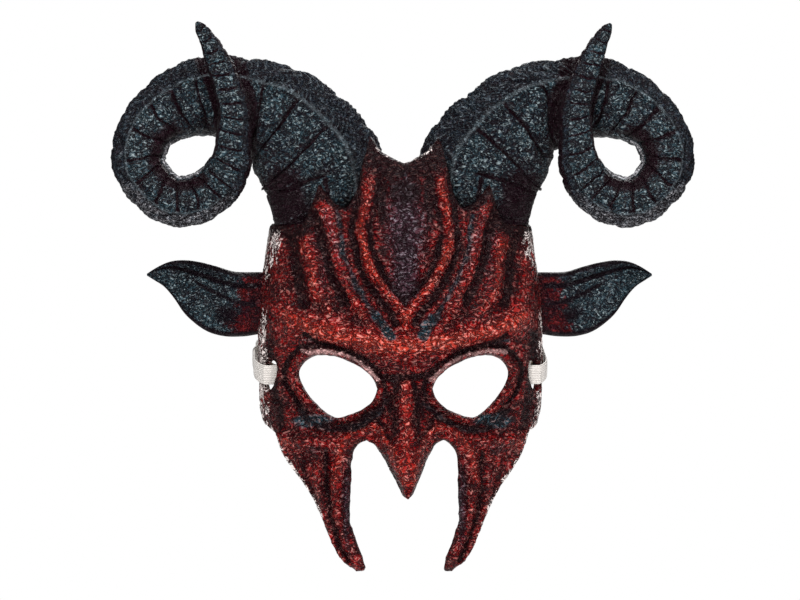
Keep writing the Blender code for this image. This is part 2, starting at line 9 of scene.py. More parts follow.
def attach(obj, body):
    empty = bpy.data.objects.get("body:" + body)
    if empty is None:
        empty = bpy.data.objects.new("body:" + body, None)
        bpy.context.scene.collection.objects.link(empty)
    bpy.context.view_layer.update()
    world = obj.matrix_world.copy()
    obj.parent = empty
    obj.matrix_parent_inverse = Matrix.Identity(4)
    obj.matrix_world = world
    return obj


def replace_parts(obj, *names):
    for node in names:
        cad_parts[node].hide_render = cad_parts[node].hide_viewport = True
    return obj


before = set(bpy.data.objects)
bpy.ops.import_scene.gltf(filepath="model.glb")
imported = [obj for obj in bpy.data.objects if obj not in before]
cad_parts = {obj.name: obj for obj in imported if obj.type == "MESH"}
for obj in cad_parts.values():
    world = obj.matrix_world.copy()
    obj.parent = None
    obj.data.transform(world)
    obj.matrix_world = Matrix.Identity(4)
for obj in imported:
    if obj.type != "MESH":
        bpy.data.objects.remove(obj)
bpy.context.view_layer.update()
mm = 0.001
scene = bpy.context.scene


# curves

def through(knots, value):
    # cubic between (place, height) knots, each slope taken from the neighbours
    knots = np.array(knots, float)
    at, height = knots[:, 0], knots[:, 1]
    slope = np.gradient(height, at)
    value = np.clip(value, at[0], at[-1])
    i = np.clip(np.searchsorted(at, value) - 1, 0, len(at) - 2)
    span = at[i + 1] - at[i]
    t = (value - at[i]) / span
    rise = height[i] * (1 + 2 * t) * (1 - t) ** 2 + height[i + 1] * t * t * (3 - 2 * t)
    return rise + span * (slope[i] * t * (1 - t) ** 2 - slope[i + 1] * t * t * (1 - t))


def lengthAlong(points):
    return np.concatenate([[0], np.cumsum(np.linalg.norm(np.diff(points, axis=0), axis=1))])


def evenly(points, step):
    # the same line read again at equal steps of its length
    along = lengthAlong(points)
    places = np.linspace(0, along[-1], max(2, round(along[-1] / step) + 1))
    return np.stack([np.interp(places, along, column) for column in points.T], axis=1)


def closing(loop):
    return np.vstack([loop, loop[:1]])


def circle(count, power=1.0):
    # points round a unit circle, squarer as the power falls below 1
    turn = np.linspace(0, 2 * np.pi, count, endpoint=False)
    ring = np.stack([np.cos(turn), np.sin(turn)], axis=-1)
    return np.sign(ring) * np.abs(ring) ** power


def unit(rows):
    return rows / np.linalg.norm(rows, axis=-1)[..., None]


def spline(points, step):
    # Catmull-Rom curve through the points
    points = np.array(points, float)
    ends = np.vstack([2 * points[0] - points[1], points, 2 * points[-1] - points[-2]])
    t = np.linspace(0, 1, 16, endpoint=False)[:, None]
    runs = []
    for a, b, c, d in zip(ends, ends[1:], ends[2:], ends[3:]):
        runs.append(0.5 * (2 * b + (c - a) * t + (2 * a - 5 * b + 4 * c - d) * t ** 2
                           + (3 * b - a - 3 * c + d) * t ** 3))
    runs.append(points[-1:])
    return evenly(np.vstack(runs), step)


def smooth(low, high, value):
    t = np.clip((value - low) / (high - low), 0, 1)
    return t * t * (3 - 2 * t)


def bell(value, middle, reach):
    # 1 at the middle, falling to both sides as exp(-distance squared)
    return np.exp(-((value - middle) / reach) ** 2)


def inParts(work, points, size=6000):
    # runs a row-by-row sum on a few thousand points at a time, to save memory
    return np.concatenate([work(points[i:i + size]) for i in range(0, len(points), size)])


def gapTo(points, line):
    # distance from each point to the nearest stretch of a line
    start, run = line[:-1], np.diff(line, axis=0)
    square = (run * run).sum(-1)

    def work(some):
        offset = some[:, None] - start[None]
        t = np.clip((offset * run).sum(-1) / square, 0, 1)
        return np.linalg.norm(offset - t[..., None] * run, axis=-1).min(axis=1)
    return inParts(work, points)


def inside(points, loop):
    # even-odd count of the loop's edges beside each point
    ax, az = loop.T
    bx, bz = np.roll(loop, -1, axis=0).T
    level = np.where(bz == az, 1e-12, bz - az)

    def work(some):
        x, z = some[:, 0][:, None], some[:, 1][:, None]
        hit = ((az > z) != (bz > z)) & (x < ax + (z - az) * (bx - ax) / level)
        return hit.sum(axis=1) % 2 == 1
    return inParts(work, points)


def noise(points, size, seed=0):
    # smooth 3D noise from 0 to 1: hashed lattice values blended between the eight corners of a cell
    spot = np.asarray(points, float) / size + 17.3 * (seed + 1)
    cell = np.floor(spot).astype(np.int64)
    part = spot - cell
    part = part * part * (3 - 2 * part)
    total = np.zeros(len(spot))
    for corner in np.ndindex(2, 2, 2):
        at = cell + corner
        mixed = at[:, 0] * 73856093 ^ at[:, 1] * 19349663 ^ at[:, 2] * 83492791 ^ (seed * 2654435761)
        mixed = (mixed ^ (mixed >> 13)) * 1274126177 & 0x7FFFFFFF
        weight = np.prod(np.where(np.array(corner) == 1, part, 1 - part), axis=1)
        total += weight * (mixed % 65536) / 65535
    return total


def wander(points, size, seed, count=2):
    # a push of -0.5 to 0.5 along each of count axes
    return np.stack([noise(points, size, seed + n) for n in range(count)], axis=1) - 0.5


def worms(points, size, seed=0):
    # crumpled-paper creases: 1 where warped noise crosses its middle, falling to -1 away from it
    warp = wander(points, size * 1.7, seed + 3, 3)
    return 1 - np.abs(2 * noise(points + warp * size * 1.6, size, seed) - 1) * 2


# meshes

def makePiece(name, verts, faces, body, material, paint=None, uv=None):
    # Puts millimetre points and faces in a mesh at the origin, with paint as point attributes.
    mesh = bpy.data.meshes.new(name)
    faces = [np.asarray(group, np.int32) for group in faces]
    corners = np.concatenate([group.ravel() for group in faces])
    sizes = np.concatenate([np.full(len(group), group.shape[1], np.int32) for group in faces])
    mesh.vertices.add(len(verts))
    mesh.vertices.foreach_set("co", (np.asarray(verts, np.float32) * mm).ravel())
    mesh.loops.add(len(corners))
    mesh.loops.foreach_set("vertex_index", corners)
    mesh.polygons.add(len(sizes))
    mesh.polygons.foreach_set("loop_start", np.concatenate([[0], np.cumsum(sizes)[:-1]]).astype(np.int32))
    mesh.update(calc_edges=True)
    for key, values in (paint or {}).items():
        layer = mesh.attributes.new(key, 'FLOAT', 'POINT')
        layer.data.foreach_set("value", np.asarray(values, np.float32))
    if uv is not None:
        layer = mesh.uv_layers.new(name="along")
        layer.data.foreach_set("uv", np.asarray(uv, np.float32)[corners].ravel())
    mesh.shade_smooth()
    mesh.validate()
    mesh.materials.append(material)
    piece = bpy.data.objects.new(name, mesh)
    scene.collection.objects.link(piece)
    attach(piece, body)
    return piece


def gridFaces(rows, sides, flip=False):
    # quads between rings of points; each ring closes on itself
    low = np.arange(rows - 1)[:, None] * sides
    i = np.arange(sides)[None]
    j = (i + 1) % sides
    quads = np.stack([low + i, low + j, low + sides + j, low + sides + i], axis=-1).reshape(-1, 4)
    return quads[:, ::-1] if flip else quads


def fanFaces(first, middle, sides, flip=False):
    # triangles from a ring to the point in its middle
    i = np.arange(sides)
    fan = np.stack([first + (i + 1) % sides, first + i, np.full(sides, middle)], axis=-1)
    return fan[:, ::-1] if flip else fan


def closedTube(rings):
    # Skin over a row of rings (rows, sides, 3), with a middle point closing each end.
    rows, sides = rings.shape[:2]
    verts = np.vstack([rings.reshape(-1, 3), rings[0].mean(axis=0), rings[-1].mean(axis=0)])
    last = rows * sides
    return verts, [gridFaces(rows, sides), fanFaces(0, last, sides),
                   fanFaces(last - sides, last + 1, sides, flip=True)]


def sweptPiece(name, rings, paint, flip, rootPaint, material):
    # closed tube over painted rings, turned inside out where flip; rootPaint is 1 to paint the root's middle
    if flip:
        rings, paint = rings[:, ::-1], {key: values[:, ::-1] for key, values in paint.items()}
    paint = {key: np.append(values.ravel(), [values[0].mean() * rootPaint, 0])
             for key, values in paint.items()}
    return makePiece(name, *closedTube(rings), "mask", material, paint)


def fillSheet(loops, net):
    # Triangles inside the first loop and outside the others, on a net of staggered rows.
    low, high = loops[0].min(axis=0), loops[0].max(axis=0)
    rows = np.arange(low[1], high[1], net * math.sqrt(0.75))
    columns = np.arange(low[0], high[0], net)
    shift = (np.arange(len(rows)) % 2)[:, None] * net / 2
    grid = np.stack(np.broadcast_arrays(columns + shift, rows[:, None]), axis=-1).reshape(-1, 2)

    def within(points):
        return inside(points, loops[0]) & ~np.any([inside(points, hole) for hole in loops[1:]], axis=0)
    grid = grid[within(grid)]
    edges, start = [], 0
    for loop in loops:
        grid = grid[gapTo(grid, evenly(closing(loop), 3.0)) > 0.62 * net]  # room beside each edge
        ids = start + np.arange(len(loop))
        edges += np.stack([ids, np.roll(ids, -1)], axis=1).tolist()
        start += len(loop)
    points = np.vstack(loops + [grid])
    made = delaunay_2d_cdt(list(map(Vector, points.tolist())), edges, [], 0, 1e-7)
    spots, faces = np.array(list(map(tuple, made[0]))), np.array(made[2])
    return spots, faces[within(spots[faces].mean(axis=1))]


def sheetSolid(faces, count):
    # Outer face, inner face and the walls along every free edge of a triangulated sheet.
    edges = np.vstack([faces[:, [0, 1]], faces[:, [1, 2]], faces[:, [2, 0]]])
    key = np.sort(edges, axis=1)
    code = key[:, 0] * count + key[:, 1]
    index, times = np.unique(code, return_index=True, return_counts=True)[1:]
    rim = edges[index[times == 1]]
    walls = np.stack([rim[:, 1], rim[:, 0], rim[:, 0] + count, rim[:, 1] + count], axis=1)
    return [faces, faces[:, ::-1] + count, walls]


# shader maths

class Signal:
    # A shader value that takes part in Python sums.

    def __init__(self, board, socket):
        self.board, self.socket = board, socket

    def sum(self, kind, other, swap=False):
        pair = (other, self) if swap else (self, other)
        return self.board.add("ShaderNodeMath", {"operation": kind}, {0: pair[0], 1: pair[1]})

    def __add__(self, other):
        return self.sum('ADD', other)

    def __radd__(self, other):
        return self.sum('ADD', other, True)

    def __sub__(self, other):
        return self.sum('SUBTRACT', other)

    def __rsub__(self, other):
        return self.sum('SUBTRACT', other, True)

    def __mul__(self, other):
        return self.sum('MULTIPLY', other)

    def __rmul__(self, other):
        return self.sum('MULTIPLY', other, True)


class Board:
    # One material's node tree.

    def __init__(self, name):
        self.material = bpy.data.materials.new(name)
        self.material.use_nodes = True
        self.tree = self.material.node_tree
        self.shader = self.tree.nodes["Principled BSDF"]

    def add(self, kind, settings=None, sockets=None, out=0):
        node = self.tree.nodes.new(kind)
        for key, value in (settings or {}).items():
            setattr(node, key, value)
        self.feed(node, sockets or {})
        return Signal(self, node.outputs[out])

    def feed(self, node, sockets):
        for key, value in sockets.items():
            socket = node.inputs[key]
            if isinstance(value, Signal):
                self.tree.links.new(value.socket, socket)
            elif isinstance(value, tuple) and len(value) == 3 and socket.type == 'RGBA':
                socket.default_value = (*value, 1)
            else:
                socket.default_value = value

    def place(self, scale=(1000, 1000, 1000)):
        # Object coordinates in millimetres
        where = self.add("ShaderNodeTexCoord", out="Object")
        return self.add("ShaderNodeMapping", None, {"Vector": where, "Scale": scale})

    def paints(self, *names):
        return [self.add("ShaderNodeAttribute", {"attribute_name": name}, out="Fac") for name in names]

    def wave(self, place, pitch):
        # sine of the place, one wave to a pitch, from 0 to 1
        turn = place * (2 * math.pi / pitch)
        return self.add("ShaderNodeMath", {"operation": 'SINE'}, {0: turn}) * 0.5 + 0.5

    def cloud(self, where, size, detail=3.0, rough=0.55, warp=0.0):
        return self.add("ShaderNodeTexNoise", None, {"Vector": where, "Scale": 1 / size, "Detail": detail,
                                                     "Roughness": rough, "Distortion": warp})

    def clamp(self, value, low=0.0, high=1.0, to=(0.0, 1.0)):
        return self.add("ShaderNodeMapRange", {"clamp": True, "interpolation_type": 'SMOOTHSTEP'},
                        {"Value": value, "From Min": low, "From Max": high, "To Min": to[0], "To Max": to[1]})

    def mix(self, share, one, other):
        return self.add("ShaderNodeMix", {"data_type": 'RGBA'}, {0: share, 6: one, 7: other}, out=2)

    def layer(self, tone, *coats):
        # each coat of colour covers the tone under it by its share
        for share, colour in coats:
            tone = self.mix(share, tone, colour)
        return tone

    def bump(self, height, distance, strength=1.0):
        return self.add("ShaderNodeBump", None,
                        {"Height": height, "Distance": distance, "Strength": strength})

    def finish(self, **sockets):
        self.feed(self.shader, {key.replace("_", " "): value for key, value in sockets.items()})
        return self.material


grainSizes = {"drift": 0.14, "push": (6, 6, 6), "fold": 1.15, "crack": (0.012, 0.072), "small": 0.62,
              "speck": (0.50, 0.66)}


def lacquerGrain(board, size, flat=1.35):
    # Wrinkled tissue under lacquer: dark cracks round worm-like folds, bright specks, and the height.
    where = board.place((1000, 1000, 1000 * flat))
    drift = board.add("ShaderNodeTexNoise", None,
                      {"Vector": where, "Scale": grainSizes["drift"], "Detail": 1.0}, out="Color")
    moved = board.add("ShaderNodeVectorMath", {"operation": 'MULTIPLY_ADD'},
                      {0: drift, 1: grainSizes["push"], 2: where})
    fold = board.cloud(moved, size * grainSizes["fold"], 2.0, 0.55, 0.8)
    away = board.add("ShaderNodeMath", {"operation": 'ABSOLUTE'}, {0: fold - 0.5})
    small = board.cloud(moved, size * grainSizes["small"], 1.5, 0.6, 0.4)
    crack = 1 - board.clamp(away, *grainSizes["crack"])
    speck = board.clamp(small, *grainSizes["speck"]) * (1 - crack)
    height = board.clamp(away, 0.0, 0.12) * 1.2 + small * 0.5
    return where, crack, speck, height


def lacquered(board, tone, blot, bare, height, look):
    # gloss that changes with the blots and is lost where the paper is bare, over the wrinkles
    rough = board.clamp(blot, 0.3, 0.7, look["rough"]) + bare * look["bareRough"]
    return board.finish(Base_Color=tone, Roughness=rough, Normal=board.bump(height, look["bump"]),
                        Specular_IOR_Level=look["specular"])


# the glow and pale tones are painted highlights, the wash tone is also the painted shade, and the speck tones
# are partly painted glints
skinLook = {
    "grain": 3.5, "flat": 1.45, "patch": 13.0, "blot": 5.0, "rough": (0.26, 0.40), "bareRough": 0.45,
    "bump": 0.0018, "specular": 0.09,
    "deep": (0.052, 0.0015, 0.003), "red": (0.160, 0.004, 0.004), "glow": (0.43, 0.036, 0.016),
    "washAndShade": (0.0055, 0.0006, 0.0016), "slate": (0.018, 0.044, 0.058), "grey": (0.028, 0.014, 0.022),
    "paleHighlight": (0.50, 0.29, 0.28), "raw": (0.62, 0.54, 0.52), "redFleckAndGlint": (0.68, 0.34, 0.30),
    "greyFleckAndGlint": (0.32, 0.27, 0.31),
}


def skinLacquer():
    # Red lacquer over wrinkled paper: dark wash and painted shade in the hollows, painted orange highlights
    # on the ridges, raw at the rims.
    look = skinLook
    board = Board("redLacquer")
    where, crack, speck, height = lacquerGrain(board, look["grain"], look["flat"])
    patch = board.cloud(where, look["patch"], 4.0, 0.6)
    blot = board.cloud(where, look["blot"], 3.0, 0.6)
    washAndShade, glow, slate, raw, grey, paleHighlight = board.paints("washAndShade", "glow", "slate", "raw", "grey", "paleHighlight")
    # shade: the dark wash, which is also the painted shade, broken up by patches and blots
    shade = board.clamp(washAndShade * (0.40 + 0.65 * patch + 0.45 * blot) + 0.35 * blot - 0.22, 0.05, 0.72)
    bare = board.clamp(raw * (0.55 + 0.45 * blot + 0.35 * speck) - 0.45 * crack + 0.1 * raw, 0.42, 0.60)
    tone = board.layer(
        look["deep"],
        (board.clamp(patch + 0.25 * glow, 0.38, 0.66), look["red"]),
        # painted orange highlight where the glow paint lies
        (board.clamp(glow * (0.05 + 0.95 * blot + 0.45 * speck), 0.18, 0.78), look["glow"]),
        (board.clamp(grey * (0.45 + 0.7 * patch + 0.15 * speck), 0.25, 0.8) * 0.92, look["grey"]),
        (board.clamp(slate * (0.2 + 1.2 * blot + 0.2 * speck), 0.35, 0.7), look["slate"]),
        (shade * 0.96, look["washAndShade"]),
        (crack * (0.96 - 0.18 * glow), look["washAndShade"]),
        # bright flecks of the paper, partly painted glints, most where the painted highlights lie
        (speck * (0.20 + 0.28 * glow + 0.22 * grey) * (1 - 0.75 * shade),
         board.mix(board.clamp(grey, 0.2, 0.7), look["redFleckAndGlint"], look["greyFleckAndGlint"])),
        # painted pale highlight on the upper lids
        (board.clamp(paleHighlight * (0.45 + 0.5 * blot + 0.4 * speck), 0.40, 0.80), look["paleHighlight"]),
        (bare, look["raw"]))
    return lacquered(board, tone, blot, bare, height, look)


slateLook = {
    "patch": 10.0, "blot": 4.0, "dark": (0.006, 0.010, 0.016), "teal": (0.018, 0.037, 0.048),
    "dull": (0.009, 0.010, 0.016), "speck": (0.205, 0.250, 0.262), "maroon": (0.012, 0.003, 0.006),
    "crack": (0.0035, 0.0010, 0.0024),
}


def slateGround(board, size, dull):
    # speckled slate lacquer before its grooves are painted
    look = slateLook
    where, crack, speck, height = lacquerGrain(board, size)
    patch = board.cloud(where, look["patch"], 4.0, 0.6)
    blot = board.cloud(where, look["blot"], 3.0, 0.6)
    tone = board.layer(
        look["dark"],
        (board.clamp(patch, 0.36, 0.60), look["teal"]),
        (dull * 0.75, look["dull"]),
        (speck * (0.78 - 0.62 * dull), look["speck"]),
        (board.clamp(blot, 0.50, 0.68) * 0.55, look["maroon"]),
        (crack * 0.96, look["crack"]))
    return crack, speck, height, blot, tone


hornLook = {
    "grain": 2.6, "rough": (0.28, 0.44), "bareRough": 0.4, "bump": 0.0017, "specular": 0.10,
    "groove": (0.0065, 0.0008, 0.0028), "worn": (0.15, 0.18, 0.20), "raw": (0.36, 0.35, 0.37),
}


def hornLacquer():
    # Slate lacquer: speckled plates, maroon-black grooves with painted shade, worn edges with painted
    # highlights, and raw fibre.
    look = hornLook
    board = Board("slateLacquer")
    groove, worn, raw, dull = board.paints("groove", "worn", "raw", "dull")
    crack, speck, height, blot, tone = slateGround(board, look["grain"], dull)
    bare = board.clamp(raw * (0.45 + 0.80 * blot + 0.40 * speck) - 0.2 * crack, 0.26, 0.95)
    tone = board.layer(
        tone,
        # dark grooves and painted shade
        (board.clamp(groove * (0.65 + 0.55 * blot + 0.2 * crack), 0.25, 0.80) * 0.98, look["groove"]),
        # worn edges and painted highlights
        (board.clamp(worn * (0.35 + 0.8 * blot + 0.3 * speck), 0.36, 0.80) * 0.55, look["worn"]),
        (bare, look["raw"]))
    return lacquered(board, tone, blot, bare, height, look)


earLook = {
    "grain": 2.2, "rough": (0.28, 0.44), "bareRough": 0.4, "bump": 0.0011, "specular": 0.10,
    "darkRed": (0.022, 0.001, 0.004), "red": (0.10, 0.004, 0.005), "groove": (0.004, 0.001, 0.003),
    "worn": (0.25, 0.30, 0.32), "raw": (0.42, 0.36, 0.28),
}


def earLacquer():
    # The horns' slate lacquer over a red root, blended by the red paint.
    look = earLook
    board = Board("earLacquer")
    groove, worn, raw, dull, redden = board.paints("groove", "worn", "raw", "dull", "red")
    crack, speck, height, blot, tone = slateGround(board, look["grain"], dull)
    rosy = board.layer(look["darkRed"], (board.clamp(blot, 0.4, 0.6), look["red"]),
                       (crack * 0.8, skinLook["washAndShade"]))
    bare = board.clamp(raw * (0.35 + 0.75 * blot + 0.45 * speck) - 0.4 * crack, 0.40, 0.62)
    tone = board.layer(
        tone,
        (board.clamp(redden + 1.1 * (blot - 0.5), 0.30, 0.62), rosy),
        # dark grooves and painted shade
        (board.clamp(groove * (0.60 + 0.55 * blot + 0.2 * crack), 0.2, 0.8) * 0.97, look["groove"]),
        # teal rim and painted highlight
        (board.clamp(worn * (0.2 + 0.7 * blot + 0.5 * speck), 0.45, 0.75) * 0.5, look["worn"]),
        (bare, look["raw"]))
    return lacquered(board, tone, blot, bare, height, look)


pulpLook = {
    "strip": 17.0, "stain": 16.0, "fleck": 0.9, "brown": (0.30, 0.235, 0.165), "buff": (0.47, 0.41, 0.33),
    "stripTone": (0.24, 0.19, 0.14), "fleckTone": (0.16, 0.12, 0.09), "soot": (0.05, 0.02, 0.02),
}


def pulpPaper():
    # Bare papier-mache inside the shell: torn overlapping strips, size stains and fibres.
    look = pulpLook
    board = Board("barePulp")
    where = board.place()
    fleck = board.cloud(where, look["fleck"], 3.0, 0.7)
    stain = board.cloud(where, look["stain"], 4.0, 0.6)
    cell = {"Vector": where, "Scale": 1 / look["strip"]}
    strip = board.add("ShaderNodeTexVoronoi", {"distance": 'CHEBYCHEV'}, cell, out="Color")
    seam = board.add("ShaderNodeTexVoronoi", {"feature": 'DISTANCE_TO_EDGE'}, cell, out="Distance")
    soot, = board.paints("soot")
    tone = board.layer(
        look["brown"],
        (stain, look["buff"]),
        (board.clamp(strip, 0.2, 0.8) * 0.35, look["stripTone"]),
        (board.clamp(fleck, 0.5, 0.75) * 0.4, look["fleckTone"]),
        (board.clamp(soot * (0.5 + stain), 0.2, 0.8), look["soot"]))
    height = board.clamp(seam, 0.0, 0.12) * 0.6 + fleck * 0.5
    return board.finish(Base_Color=tone, Roughness=0.88, Normal=board.bump(height, 0.0006))


plainLooks = {
    "paddingFoam": {"tones": ((0.055, 0.050, 0.048), (0.095, 0.088, 0.082)), "size": 0.9,
                    "rough": (0.85, 0.95), "depth": 0.0004},
    "sewingThread": {"tones": ((0.60, 0.57, 0.52), (0.78, 0.75, 0.70)), "size": 0.6,
                     "rough": (0.6, 0.75), "depth": 0.0001},
    "sliderPlastic": {"tones": ((0.018, 0.018, 0.020), (0.030, 0.030, 0.032)), "size": 0.8,
                      "rough": (0.35, 0.5), "depth": 0.00008},
    "pressedBoard": {"tones": ((0.20, 0.13, 0.075), (0.34, 0.24, 0.15)), "size": 1.6,
                     "rough": (0.8, 0.92), "depth": 0.0003, "stretch": (0.4, 0.4, 2.2)},
    "pineWood": {"tones": ((0.34, 0.19, 0.085), (0.52, 0.33, 0.17)), "size": 2.0,
                 "rough": (0.55, 0.75), "depth": 0.0002, "stretch": (1, 1, 0.15)},
    "brushedSteel": {"tones": ((0.42, 0.42, 0.44), (0.60, 0.60, 0.61)), "size": 0.5,
                     "rough": (0.25, 0.42), "depth": 0.00004, "stretch": (1, 1, 4), "metallic": 1.0},
}


def plainFinish(name):
    # Grain for small parts: two tones over stretched noise, with a fine bump.
    look = plainLooks[name]
    board = Board(name)
    where = board.place(tuple(1000 * s for s in look.get("stretch", (1, 1, 1))))
    grain = board.cloud(where, look["size"], 4.0, 0.65)
    fine = board.cloud(where, look["size"] / 5, 3.0, 0.7)
    tone = board.mix(board.clamp(grain, 0.3, 0.7), *look["tones"])
    return board.finish(Base_Color=tone, Roughness=board.clamp(fine, 0.3, 0.7, look["rough"]),
                        Metallic=look.get("metallic", 0.0),
                        Normal=board.bump(grain * 0.5 + fine, look["depth"], 0.8))


elasticLook = {"rib": 1.1, "weft": 0.9, "dark": (0.34, 0.31, 0.29), "light": (0.68, 0.64, 0.60),
               "lint": (0.55, 0.50, 0.46)}


def wovenElastic():
    # Knitted elastic: ribs along the strap, a fine weft across them, and firm edges.
    look = elasticLook
    board = Board("wovenElastic")
    run = board.add("ShaderNodeSeparateXYZ", None, {0: board.add("ShaderNodeUVMap", {"uv_map": "along"})})
    across = Signal(board, run.socket.node.outputs["Y"])
    rib, weft = board.wave(across, look["rib"]), board.wave(run, look["weft"])
    lint = board.cloud(board.place(), 0.8, 3.0, 0.7)
    tone = board.layer(look["dark"], (rib * (0.4 + 0.6 * weft), look["light"]),
                       (board.clamp(lint, 0.45, 0.8) * 0.5, look["lint"]))
    return board.finish(Base_Color=tone, Roughness=0.8, Sheen_Weight=0.3,
                        Normal=board.bump(rib * 0.7 + rib * weft * 0.5, 0.0003))


# face shell

shellSizes = {
    "wall": 3.5, "net": 1.12, "sideY": 34.0, "quarter": 114.0, "rimSide": 16.0, "rimSlot": 8.0,
    "topSide": 98.0, "noseWidth": 12.0,
    "breadth": [(-112, 62), (-60, 74), (-35, 80.5), (-15, 85), (0, 86), (35, 86), (60, 84.5), (80, 81.5),
                (100, 79), (125, 77), (150, 74)],
    "front": [(-112, -6), (-66, -10), (-30, -10), (0, -11), (10, -13), (40, -18), (70, -17), (107, -14),
              (134, -10), (150, -7)],
    "noseHeight": [(-70, 36), (-60, 32), (-45, 23), (-25, 14), (-10, 8), (5, 4), (16, 0), (150, 0)],
    "slotAngle": 69.0, "slotZ": 7.0, "slotLong": 18.0, "slotHalf": 4.3, "lean": 15.0, "pegY": 38.0,
    "pegZ": 50.0, "pegHole": 2.8, "roundOver": 1.5,
}

# carved lines of the left half: points, rise, half-width, and how much of each colour they carry; glow and
# pale are painted highlights, wash is dark wash and painted shade
carving = [
    ([(20, 124), (22.5, 113), (25, 104), (26, 93), (24.5, 82), (19.5, 70), (13, 60), (6, 51), (2, 44), (0,
      36)], 3.6, 2.6, {"glow": 0.75, "grey": 0.22}),
    ([(26, 128), (27.5, 116), (30, 104), (31, 92), (29.5, 80), (25, 67), (18, 56), (10, 46), (6, 38)], -2.4,
      2.2, {"washAndShade": 1.05}),
    ([(14, 128), (17, 112), (20, 100), (20.5, 90), (18, 78), (12, 66), (5, 56), (0, 50)], -1.6, 2.4,
      {"washAndShade": 0.8}),
    ([(52, 122), (50, 110), (44, 95), (40, 78), (36, 63), (29, 48), (20, 36)], 2.2, 3.4, {"glow": 0.5}),
    ([(57, 110), (51, 96), (47, 80), (43, 66), (36, 51)], -1.8, 3.4, {"washAndShade": 1.15}),
    ([(40, 104), (38, 92), (36.6, 79), (30, 63.5), (22.3, 50.5), (13.2, 35)], -1.8, 2.8, {"washAndShade": 0.75,
      "slate": 0.75}),
    ([(23.5, 140), (26.5, 129), (30, 115), (36, 107), (43, 110), (48, 115), (53, 122)], 0.0, 1.9, {"washAndShade":
      1.5}),
    ([(59, 90), (56, 76), (55, 64), (53, 56), (45, 46)], 2.6, 3.2, {"glow": 0.6}),
    ([(67, 90), (64, 74), (62, 60), (60, 50)], -1.8, 3.8, {"washAndShade": 0.95}),
    ([(76, 90), (73, 74), (72, 60), (70, 48)], 1.6, 3.6, {"glow": 0.3}),
    ([(70, 41), (62, 38), (56, 36), (40, 31), (25, 27), (12, 25), (0, 24)], 7.0, 7.0, {"glow": 0.85}),
    ([(60, 31), (54, 28), (44, 25), (35, 20.5), (20, 10.5), (14, 7), (0, 5.5)], -3.0, 2.3, {"washAndShade": 1.15}),
    ([(9, 31), (12, 36), (17, 42)], -2.4, 4.0, {"washAndShade": 0.5, "slate": 1.0}),
    ([(22, 36), (30, 41), (40, 47), (50, 50)], -1.2, 4.0, {"washAndShade": 0.55}),
    ([(72, -31), (66, -33), (57, -33), (45, -33.5)], 4.2, 4.2, {"glow": 0.35}),
    ([(68, -38), (60, -42), (52, -46)], -1.4, 3.0, {"washAndShade": 0.25}),
    ([(62, -14), (54, -22), (46, -25.5), (36.6, -25.5), (26, -22), (17, -16), (11, -9)], -2.8, 2.9, {"washAndShade":
      1.1, "slate": 0.75}),
    ([(64, -18), (55, -27), (46, -29)], -0.6, 6.0, {"washAndShade": 0.55, "slate": 0.35}),
    ([(41, -56), (40, -45), (37, -35), (31, -27.5), (23.5, -24), (15, -25.5), (9, -33), (5, -44), (2, -56)],
      3.4, 3.4, {"glow": 0.6}),
    ([(41, -56), (40, -74), (35.5, -92), (29, -105)], 2.6, 3.4, {"glow": 0.3}),
    ([(46, -40), (46, -56), (44, -72), (38.5, -92), (33, -104)], -2.0, 1.9, {"washAndShade": 0.75}),
    ([(50, -42), (51, -58), (48.5, -74), (43, -92), (36, -106)], 1.8, 2.4, {"glow": 0.25}),
    ([(60, -44), (57, -56), (52, -70), (46, -88)], -1.6, 2.0, {"washAndShade": 0.6}),
    ([(60, 21), (50, 22.3), (40, 20.5), (30, 16.5), (21, 10), (15.5, 4)], 0.0, 2.2, {"paleHighlight": 0.95}),
    ([(62, 27), (54, 27.5), (44, 24.5)], 0.0, 2.2, {"slate": 0.7}),
    ([(34, -50), (36, -62), (37, -76), (34, -88)], -1.4, 1.8, {"washAndShade": 0.6}),
    ([(0, 4), (0, -20), (0, -40), (0, -48)], 1.8, 2.6, {"glow": 0.6}),
    ([(5, 2), (6, -14), (6.5, -28)], -1.2, 2.4, {"washAndShade": 0.75}),
    ([(8, -6), (10, -12)], -2.0, 2.6, {"washAndShade": 0.9}),
    ([(17, -18), (12, -26), (7, -33)], -1.6, 1.9, {"washAndShade": 0.8}),
    ([(79, 30), (78, 10), (76, -8), (73, -24)], -0.6, 4.5, {"washAndShade": 0.75}),
    ([(0, 118), (0, 96), (0, 74), (0, 58)], -1.2, 9.0, {"grey": 1.0, "washAndShade": 0.25}),
    ([(37, 72), (42, 88), (47, 104)], 0.0, 4.5, {"grey": 0.5}),
    ([(48, 60), (50, 78), (54, 92)], 0.0, 4.0, {"grey": 0.5}),
    ([(57, 100), (66, 98), (78, 97)], 0.0, 7.0, {"washAndShade": 1.1}),
    ([(20, 146), (12, 138), (0, 134)], 0.0, 9.0, {"washAndShade": 1.0, "slate": 0.35}),
]

